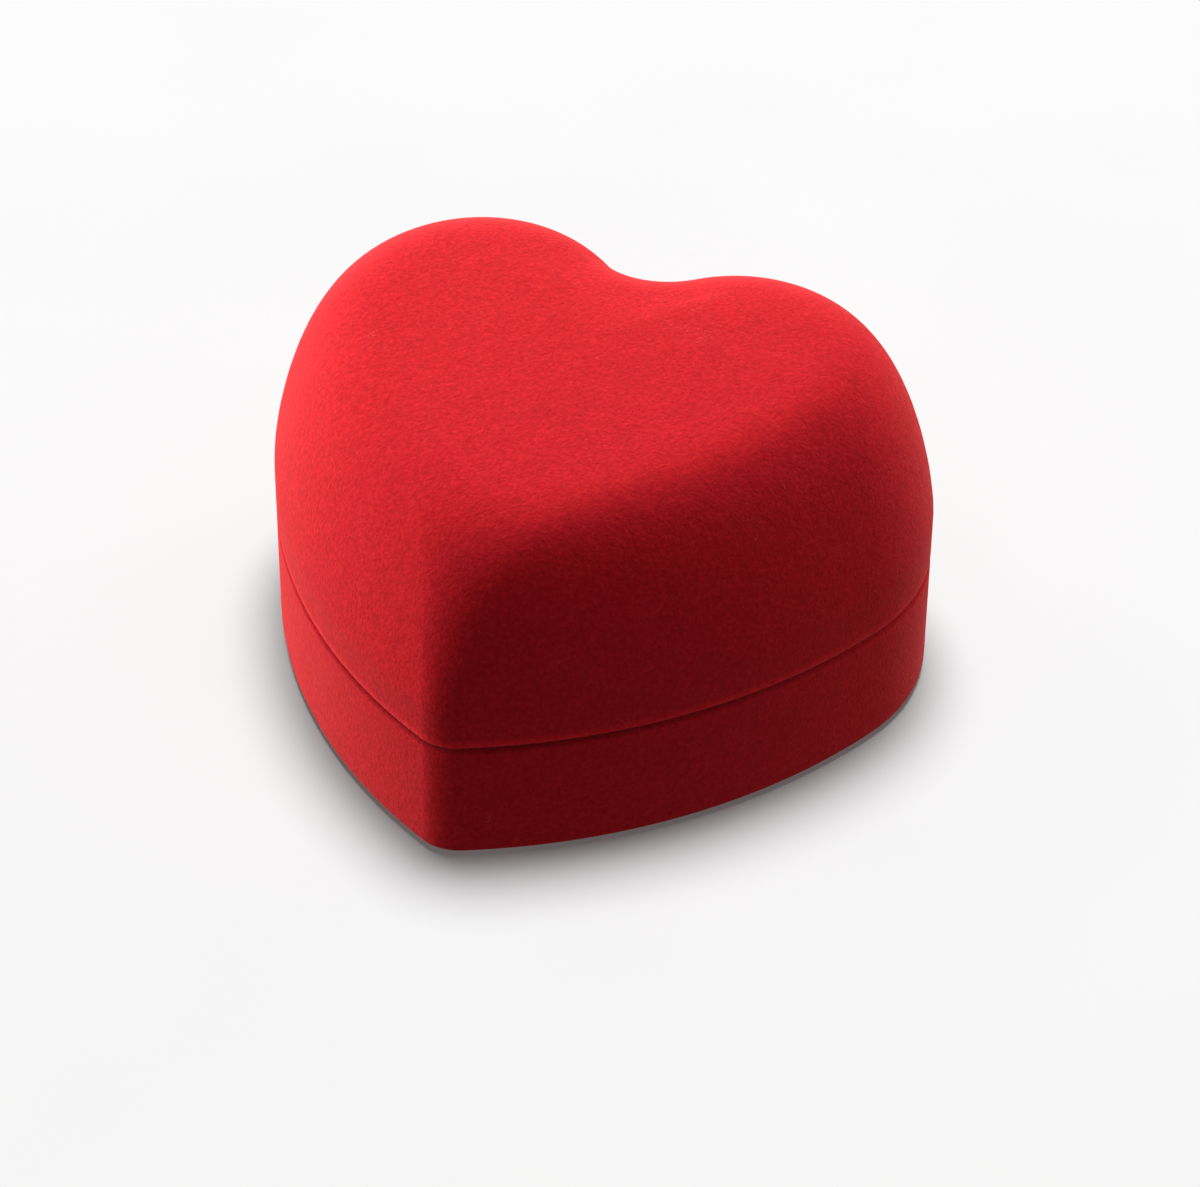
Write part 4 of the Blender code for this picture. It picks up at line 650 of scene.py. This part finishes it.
def make_lid():
    rim = SEAM_HEIGHT + SEAM_GAP / 2
    edge = LID_RIM_ROUNDING
    lip = rounded_rim(rim, edge, edge, -1)
    outside = dome(0.0, rim + edge, *LID_DOME_STEPS)[1:]
    inside = dome(WALL, rim, *LID_INSIDE_STEPS)
    sections = outside[::-1] + [tilted(s) for s in lip] + inside
    lid = loft("flocked_lid", sections)
    half = LID_KNUCKLE_HALF
    arm_front = notch_depth_at(0) - WALL * 0.4
    arm = block("arm", (-half, arm_front, rim), (half, HINGE_Y, rim + HINGE_ARM_THICKNESS))
    inner_half = half - OVERLAP
    knuckle = hinge_knuckle(-inner_half, inner_half)
    heel = block("heel", (-inner_half, -STOP_HEEL_HALF, 0), (inner_half, STOP_HEEL_HALF, STOP_HEEL_RADIUS))
    bevelled(heel, KNUCKLE_EDGE)
    lean = Matrix.Rotation(-(STOP_HEEL_ANGLE - math.pi / 2), 4, "X")
    heel.data.transform(Matrix.Translation((0, HINGE_Y, SEAM_HEIGHT)) @ lean)
    lobe_x = -(HEART_WIDTH / 2 - LOBE_RADIUS)
    direction = math.atan2(STOP_Y - LOBE_CENTRE_Y, STOP_X - lobe_x)
    reach = math.hypot(STOP_Y - LOBE_CENTRE_Y, STOP_X - lobe_x)
    bottom = SEAM_HEIGHT + STOP_TAB_BOTTOM
    wide = STOP_TAB_HALF
    tab_end = (LOBE_RADIUS - WALL / 2, wide, bottom + STOP_TAB_THICKNESS)
    tab = bevelled(block("tab", (reach - wide, -wide, bottom), tab_end), STOP_TAB_EDGE)
    tab.data.transform(Matrix.Translation((lobe_x, LOBE_CENTRE_Y, 0)) @ Matrix.Rotation(direction, 4, "Z"))
    combine(lid, [arm, knuckle, heel, tab], "UNION")
    combine(lid, [hinge_bore("bore")], "DIFFERENCE")
    return dressed(lid, FLOCK, "lid", "lid_shell")


def make_base():
    rim = SEAM_HEIGHT - SEAM_GAP / 2
    edge = BASE_RIM_ROUNDING
    foot = []
    foot_steps = 6
    for i in range(foot_steps + 1):
        angle = i / foot_steps * math.pi / 2
        outline = heart(BOTTOM_ROUNDING * (1 - math.sin(angle)))
        foot.append(level(outline, FOOT_HEIGHT + BOTTOM_ROUNDING * (1 - math.cos(angle))))
    wall_bottom = FOOT_HEIGHT + BOTTOM_ROUNDING
    wall_steps = 5
    wall_height = rim - edge - FOOT_HEIGHT - BOTTOM_ROUNDING
    wall = [level(heart(), wall_bottom + wall_height * i / wall_steps) for i in range(1, wall_steps)]
    lip = rounded_rim(rim, edge, edge, 1)
    inner = [level(heart(WALL), rim), level(heart(WALL), FLOOR_TOP)]
    base = loft("flocked_base", foot + wall + lip + inner)
    bx, by = winding_axis()
    root = FLOOR_TOP - OVERLAP
    bed_bottom, bed_top = bed_levels()
    ceiling = RECESS_CEILING + RECESS_WALL
    tray_seat = tray_bottom() - CLEARANCE
    well_seat = well_floor() - WELL_WALL - CLEARANCE
    inner_x = LID_KNUCKLE_HALF + CLEARANCE
    outer_x = inner_x + BASE_KNUCKLE_WIDTH
    wall_back = notch_depth_at(outer_x) - WALL * 0.7
    lug_top = SEAM_HEIGHT - SEAM_GAP
    bar_top = SEAM_HEIGHT - STOP_HEEL_RADIUS - CLEARANCE
    bar_bottom = bar_top - STOP_BAR_THICKNESS
    screws = list(enumerate(bed_screws()))
    recess_root = FLOOR_BOTTOM + OVERLAP
    added = [rod("recess_wall", RECESS_RADIUS + RECESS_WALL, bx, by, recess_root, ceiling, WIDE_SIDES)]
    added += [rod(f"boss_{i}", BOSS_RADIUS, x, y, root, bed_bottom - CLEARANCE) for i, (x, y) in screws]
    added.append(rod("post_right", POST_RADIUS, SIDE_POST_X, SIDE_POST_Y, root, tray_seat))
    added.append(rod("post_left", POST_RADIUS, -SIDE_POST_X, SIDE_POST_Y, root, tray_seat))
    added.append(rod("post_front", POST_RADIUS, 0, FRONT_POST_Y, root, well_seat))
    added.append(rod("rod_guide", STOP_RADIUS * 3, STOP_X, STOP_Y, root, bed_top + CLEARANCE))
    for left, right in ((-outer_x, -inner_x), (inner_x, outer_x)):
        added.append(hinge_knuckle(left, right))
        lug = block("lug", (left, wall_back, bar_bottom), (right, HINGE_Y, lug_top))
        added.append(bevelled(lug, LUG_EDGE))
    bar_x = outer_x - OVERLAP
    bar = block("bar", (-bar_x, wall_back, bar_bottom), (bar_x, HINGE_Y + KNUCKLE_RADIUS, bar_top))
    added.append(bevelled(bar, STOP_BAR_EDGE))
    combine(base, added, "UNION")
    pocket = heart(FELT_INSET)
    guide = STOP_RADIUS + CLEARANCE
    hole_bottom = bed_top - SCREW_HOLE_DEPTH
    taken = [
        rod("recess", RECESS_RADIUS, bx, by, -CUT_MARGIN, RECESS_CEILING, WIDE_SIDES),
        rod("arbor_hole", ARBOR_RADIUS + CLEARANCE, bx, by, RECESS_CEILING - OVERLAP, bed_top),
        loft("felt_pocket", [level(pocket, -CUT_MARGIN), level(pocket, FLOOR_BOTTOM)]),
        rod("guide_bore", guide, STOP_X, STOP_Y, FLOOR_TOP + CUT_MARGIN, bed_top + CUT_MARGIN),
        hinge_bore("bore"),
    ]
    taken += [rod(f"boss_hole_{i}", SCREW_HOLE_RADIUS, x, y, hole_bottom, bed_top) for i, (x, y) in screws]
    combine(base, taken, "DIFFERENCE")
    return dressed(base, FLOCK, "base", "base_shell")


def middle_of(node):
    low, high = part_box(node)
    return (low.x + high.x) / 2, (low.y + high.y) / 2 - OFFSET


def winding_axis():
    return middle_of("winding_arbor")


def bed_levels():
    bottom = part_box("bedplate")[0].z
    return bottom, bottom + BED_THICKNESS


def bed_screws():
    return [middle_of(f"bed_screw_{i}") for i in (1, 2, 3)]


def tray_bottom():
    return SEAM_HEIGHT - TRAY_DROP


def tray_top():
    return tray_bottom() + TRAY_THICKNESS


def well_floor():
    return tray_top() - WELL_DEPTH


def well_inset():
    return WALL + SEAM_GAP + TRAY_LIP_WIDTH + WELL_GAP


def cover_sides(inset=0.0):
    """Left, right, front and back of the movement's cover in the heart's own frame, moved in by inset."""
    low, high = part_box("movement_cover")
    return low.x + inset, high.x - inset, low.y - OFFSET + inset, high.y - OFFSET - inset


def make_tray():
    lip_top = SEAM_HEIGHT + TRAY_LIP_HEIGHT
    outside = WALL + SEAM_GAP
    inside = outside + TRAY_LIP_WIDTH
    radius = TRAY_LIP_WIDTH / 2
    sections = [level(heart(outside), tray_bottom()), level(heart(outside), SEAM_HEIGHT)]
    lip_steps = 8
    for i in range(lip_steps + 1):
        angle = i / lip_steps * math.pi
        outline = heart(outside + radius * (1 - math.cos(angle)))
        sections.append(level(outline, lip_top - radius * (1 - math.sin(angle))))
    sections.append(level(heart(inside), tray_top() + TRAY_FILLET))
    fillet_steps = 4
    for i in range(1, fillet_steps + 1):
        angle = i / fillet_steps * math.pi / 2
        outline = heart(inside + TRAY_FILLET * (1 - math.cos(angle)))
        sections.append(level(outline, tray_top() + TRAY_FILLET * (1 - math.sin(angle))))
    tray = loft("velvet_tray", sections)
    outline = in_front_of(heart(well_inset() - WELL_WALL), WELL_BACK + WELL_WALL)
    well = [level(outline, well_floor() - WELL_WALL), level(outline, tray_bottom() + OVERLAP)]
    combine(tray, [loft("well", well)], "UNION")
    opening = in_front_of(heart(well_inset()), WELL_BACK)
    left, right, front, back = cover_sides(WINDOW_MARGIN)
    window = rounded_rectangle(left, right, front, back, WINDOW_CORNER)
    below, above = tray_bottom() - CUT_MARGIN, tray_top() + CUT_MARGIN
    cutters = [
        loft("well_space", [level(opening, well_floor()), level(opening, lip_top)]),
        loft("window", [level(window, below), level(window, above)]),
        rod("rod_hole", STOP_RADIUS + CLEARANCE, STOP_X, STOP_Y, below, above, 24),
    ]
    combine(tray, cutters, "DIFFERENCE")
    bevelled(tray, TRAY_EDGE, 2, 50)
    return dressed(tray, TRAY_FLOCK, "base", "tray")


def make_felt():
    """The sheet under the base: its cut edge is a little rounded, above and below."""
    inset = FELT_INSET + CLEARANCE
    top = FLOOR_BOTTOM - CLEARANCE
    top_edge = 0.2 * MM
    sections = [
        level(heart(inset + FELT_EDGE), 0.0),
        level(heart(inset + 0.07 * MM), 0.08 * MM),
        level(heart(inset), FELT_EDGE),
        level(heart(inset), top - top_edge),
        level(heart(inset + top_edge), top),
    ]
    pad = loft("base_felt_pad", sections)
    bx, by = winding_axis()
    hole = rod("hole", RECESS_RADIUS + CLEARANCE, bx, by, -CUT_MARGIN, FLOOR_TOP, WIDE_SIDES)
    combine(pad, [hole], "DIFFERENCE")
    return dressed(pad, FELT, "base", "base_felt")


def make_cover():
    low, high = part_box("movement_cover")
    steps = 6
    smallest_corner = 0.5 * MM

    def ring(inset):
        return rounded_rectangle(*cover_sides(inset), max(COVER_CORNER - inset, smallest_corner))

    def face(inset, top, fillet):
        """Sections from the flat top out and down the rounded upper edge."""
        sections = []
        for i in range(steps + 1):
            angle = i / steps * math.pi / 2
            outline = ring(inset + fillet * (1 - math.sin(angle)))
            sections.append(level(outline, top - fillet * (1 - math.cos(angle))))
        return sections

    outside = face(0.0, high.z, COVER_FILLET)
    inside = face(COVER_WALL, high.z - COVER_WALL, COVER_INNER_FILLET)
    foot = [level(ring(0.0), low.z), level(ring(COVER_WALL), low.z)]
    cover = loft("clear_cover", outside + foot + inside[::-1])
    return dressed(cover, CLEAR, "base", "movement_cover")


# ---------------------------------------------------------------- soft pieces


def make_lining():
    """Satin over thin wadding, sewn down along a diamond lattice of stitches."""
    bottom = SEAM_HEIGHT + LINING_BOTTOM
    outside = dome(WALL + CLEARANCE, bottom, *LINING_OUTSIDE_STEPS)
    inside = dome(WALL + CLEARANCE + LINING_THICKNESS, bottom, *LINING_INSIDE_STEPS)
    lining = loft("satin_lining", outside[::-1] + inside)
    lining.data.update()
    quilt(lining, len(outside) * len(heart()), STITCH_PITCH, STITCH_DEPTH)
    dressed(lining, SATIN, "lid", "lid_lining", sharp_angle=80)
    return lining


def quilt(obj, first_inner, pitch, depth):
    """Draws the inner face towards the shell along the stitch lines, and lets it swell between them."""
    normals = [v.normal.copy() for v in obj.data.vertices]
    for v, normal in zip(obj.data.vertices, normals):
        if v.index < first_inner:
            continue
        u = (v.co.x + v.co.y) / pitch
        w = (v.co.x - v.co.y) / pitch
        puff = abs(math.sin(math.pi * u)) * abs(math.sin(math.pi * w))
        v.co -= normal * depth * (1 - puff**0.45)


def soften(obj, cap, pressure, frames=20):
    """Blows the piece up a little as cloth under pressure, and limits how far any point may move."""
    rest = [v.co.copy() for v in obj.data.vertices]
    cloth = obj.modifiers.new("cloth", "CLOTH")
    settings = cloth.settings
    settings.quality = 5
    settings.use_pressure = True
    settings.uniform_pressure_force = pressure
    settings.effector_weights.gravity = 0
    settings.tension_stiffness = 20
    settings.compression_stiffness = 20
    settings.bending_stiffness = 0.6
    scene = bpy.context.scene
    for number in range(1, frames + 1):
        scene.frame_set(number)
    bpy.context.view_layer.update()
    mesh = obj.evaluated_get(bpy.context.evaluated_depsgraph_get()).to_mesh()
    moved = [v.co.copy() for v in mesh.vertices]
    obj.modifiers.clear()
    for v, before, after in zip(obj.data.vertices, rest, moved):
        step = after - before
        if step.length > cap:
            step *= cap / step.length
        v.co = before + step
    scene.frame_set(1)


def make_cushion():
    """The trinket cushion: a crowned closed pad, filled to the well."""
    low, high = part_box("trinket_pad")
    outline = in_front_of(heart(well_inset() + CUSHION_GAP), WELL_BACK - CUSHION_GAP)
    height = high.z - low.z
    centre_y = sum(y for _, y in outline) / len(outline)
    sections = []
    for share, z in ((0.97, 0.12), (1.0, 0.35), (1.0, 0.62), (0.97, 0.84)):
        ring = [(x * share, centre_y + (y - centre_y) * share) for x, y in outline]
        sections.append(level(ring, low.z + height * z))
    pad = loft("trinket_cushion", sections)
    remesh = pad.modifiers.new("even_mesh", "REMESH")
    remesh.mode = "VOXEL"
    remesh.voxel_size = 0.9 * MM
    applied(pad)
    soften(pad, 0.7 * MM, 4.0)
    smooth = pad.modifiers.new("smooth", "SMOOTH")
    smooth.factor = 0.5
    smooth.iterations = 3
    divide = pad.modifiers.new("divide", "SUBSURF")
    divide.levels = 1
    divide.render_levels = 1
    applied(pad)
    top = max(v.co.z for v in pad.data.vertices)
    bottom = min(v.co.z for v in pad.data.vertices)
    for v in pad.data.vertices:
        rise = (v.co.z - bottom) / (top - bottom)
        v.co.z = low.z + height * rise
        away_x = v.co.x / CUSHION_DIMPLE_RADIUS
        away_y = (v.co.y - centre_y) / CUSHION_DIMPLE_RADIUS
        dimple = math.exp(-(away_x**2 + away_y**2))
        v.co.z -= dimple * CUSHION_DIMPLE_DEPTH * max(rise - 0.3, 0)
    dressed(pad, SATIN, "base", "trinket_pad", sharp_angle=80)
    return pad


# The shells take no part in indirect light, so that no red spills onto the neutral floor.
for shell in (make_lid(), make_base()):
    shell.visible_diffuse = False
make_tray()
felt_pad = make_felt()
make_cover()
make_lining()
make_cushion()

felt_hole = math.pi * (RECESS_RADIUS + CLEARANCE) ** 2
felt_area = outline_area(heart(FELT_INSET + CLEARANCE)) - felt_hole

# ---------------------------------------------------------------- movement finishes

FINISHES = {
    CAST: ("bedplate", "barrel_bridge"),
    COMB_STEEL: ("comb",),
    BRASS: (
        "side_plate", "governor_cage", "barrel_drum", "crown_wheel", "cylinder", "cylinder_cap_left",
        "cylinder_cap_right", "drive_pinion", "cylinder_gear", "worm_wheel",
    ),
    STEEL: (
        "hinge_pin", "winding_arbor", "cylinder_arbor", "governor_arbor", "worm", "stop_rod", "bed_screw_1",
        "bed_screw_2", "bed_screw_3", "bridge_screw_1", "bridge_screw_2", "comb_screw_1", "comb_screw_2",
        "side_plate_screw", "cage_screw",
    ),
    NICKEL: ("winding_key",),
    SPRING: ("mainspring",),
    BLACK: ("fly",),
    FELT: ("stop_pad",),
}
# Width in millimetres of the bevel on each piece's edges.
EDGES = {
    "bedplate": 0.3, "barrel_bridge": 0.3, "side_plate": 0.2, "governor_cage": 0.2, "comb": 0.05,
    "cylinder_gear": 0.05, "crown_wheel": 0.05, "drive_pinion": 0.05, "worm_wheel": 0.05, "winding_key": 0.25,
    "barrel_drum": 0.2, "stop_pad": 0.3, "fly": 0.08, "cylinder_cap_left": 0.12, "cylinder_cap_right": 0.12,
}
for surface, names in FINISHES.items():
    for name in names:
        node = NODES[name]
        node.data.materials.clear()
        node.data.materials.append(surface)
for name, width_mm in EDGES.items():
    bevel = NODES[name].modifiers.new("edges", "BEVEL")
    bevel.width = width_mm * MM
    bevel.segments = 2
    bevel.limit_method = "ANGLE"
    bevel.angle_limit = math.radians(40)

# ---------------------------------------------------------------- floor, light, camera


FLOOR_HALF_WIDTH = 3.0
FLOOR_DROP = 0.05 * MM
LAMP_AIM_HEIGHT = 25 * MM
BOX_LAMP_DISTANCE = 0.9
BOX_LAMP_SIZE = 0.9


def floor():
    n = Nodes("pale_floor")
    tone = n.ramp(n.noise(14, 2.0), (0.3, (0.93, 0.93, 0.93)), (0.7, (0.95, 0.95, 0.95)))
    n.set(Base_Color=tone, Roughness=0.9, Specular_IOR_Level=0.05)

    def build(bm):
        bmesh.ops.create_grid(bm, x_segments=8, y_segments=8, size=FLOOR_HALF_WIDTH)

    plane = add_object("floor", mesh_from("floor", build))
    for vertex in plane.data.vertices:
        vertex.co.z = -FLOOR_DROP
    plane.data.materials.append(n.material)
    plane.visible_diffuse = False
    plane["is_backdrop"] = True
    return plane


def softbox(name, direction, distance, size, energy, colour, receivers):
    """A round area lamp that faces the box from a direction and lights only one set of objects."""
    lamp = bpy.data.lights.new(name, "AREA")
    lamp.shape = "DISK"
    lamp.size = size
    lamp.energy = energy
    lamp.color = colour
    obj = bpy.data.objects.new(name, lamp)
    bpy.context.scene.collection.objects.link(obj)
    away = Vector(direction).normalized()
    obj.location = Vector((0, OFFSET, LAMP_AIM_HEIGHT)) + away * distance
    obj.rotation_mode = "QUATERNION"
    obj.rotation_quaternion = away.to_track_quat("Z", "Y")
    obj.light_linking.receiver_collection = receivers


FLOOR_SET = bpy.data.collections.new("floor_set")
BOX_SET = bpy.data.collections.new("box_set")
FLOOR_SET.objects.link(floor())
for obj in bpy.context.scene.objects:
    if obj.type == "MESH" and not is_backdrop(obj):
        BOX_SET.objects.link(obj)

WARM = (1.0, 0.985, 0.97)
ROSY = (1.0, 0.96, 0.98)
BOX_LAMPS = (
    ("left", (-1.0, 0.0, 0.15), 16.5, WARM),
    ("left_back", (-1.0, 0.6, 0.2), 7.0, WARM),
    ("back", (0.0, 1.0, 0.62), 7.0, WARM),
    ("right_back", (0.6, 0.8, 0.5), 4.4, ROSY),
    ("top_back", (-0.3, 0.6, 1.0), 3.6, WARM),
)
for name, direction, energy, colour in BOX_LAMPS:
    softbox(name, direction, BOX_LAMP_DISTANCE, BOX_LAMP_SIZE, energy, colour, BOX_SET)
softbox("floor_wash", (-0.07, 0.21, 1.0), 2.6, 1.35, 62.0, (1.0, 1.0, 1.0), FLOOR_SET)

world = bpy.data.worlds.new("studio")
world.use_nodes = True
background = world.node_tree.nodes["Background"]
background.inputs["Color"].default_value = (1.0, 0.99, 0.985, 1)
background.inputs["Strength"].default_value = 0.175
bpy.context.scene.world = world
bpy.context.scene.view_settings.view_transform = "Standard"

FOCAL_PIXELS = 4298.3
IMAGE = (1200, 1187)
CAMERA_AZIMUTH = math.radians(22.25)
CAMERA_ELEVATION = math.radians(36.42)
CAMERA_ROLL = math.radians(0.528)
CAMERA_DISTANCE = 630.7 * MM
AIM_PIXELS = (590.2, 487.5)
AIM_HEIGHT = 26.75 * MM

aside = math.cos(CAMERA_ELEVATION)
ahead = Vector((math.sin(CAMERA_AZIMUTH), -math.cos(CAMERA_AZIMUTH), 0))
away = ahead * aside + Vector((0, 0, math.sin(CAMERA_ELEVATION)))
target = Vector((0, OFFSET, AIM_HEIGHT))
eye = target + away * CAMERA_DISTANCE


def view_axes(back):
    """The camera's right and up for a direction from the target to the eye, with its roll."""
    right = (-back).cross(Vector((0, 0, 1))).normalized()
    up = right.cross(-back)
    rolled = right * math.cos(CAMERA_ROLL) + up * math.sin(CAMERA_ROLL)
    return rolled, up * math.cos(CAMERA_ROLL) - right * math.sin(CAMERA_ROLL)


right, up = view_axes(away)
aim = target + right * CAMERA_DISTANCE * (IMAGE[0] / 2 - AIM_PIXELS[0]) / FOCAL_PIXELS
aim -= up * CAMERA_DISTANCE * (IMAGE[1] / 2 - AIM_PIXELS[1]) / FOCAL_PIXELS
back = (eye - aim).normalized()
right, up = view_axes(back)
camera_data = bpy.data.cameras.new("camera")
camera_data.sensor_width = 36.0
camera_data.lens = FOCAL_PIXELS * camera_data.sensor_width / IMAGE[0]
camera_data.clip_start = 0.01
camera = bpy.data.objects.new("camera", camera_data)
camera.matrix_world = Matrix.Translation(eye) @ Matrix((right, up, back)).transposed().to_4x4()
bpy.context.scene.collection.objects.link(camera)
bpy.context.scene.camera = camera
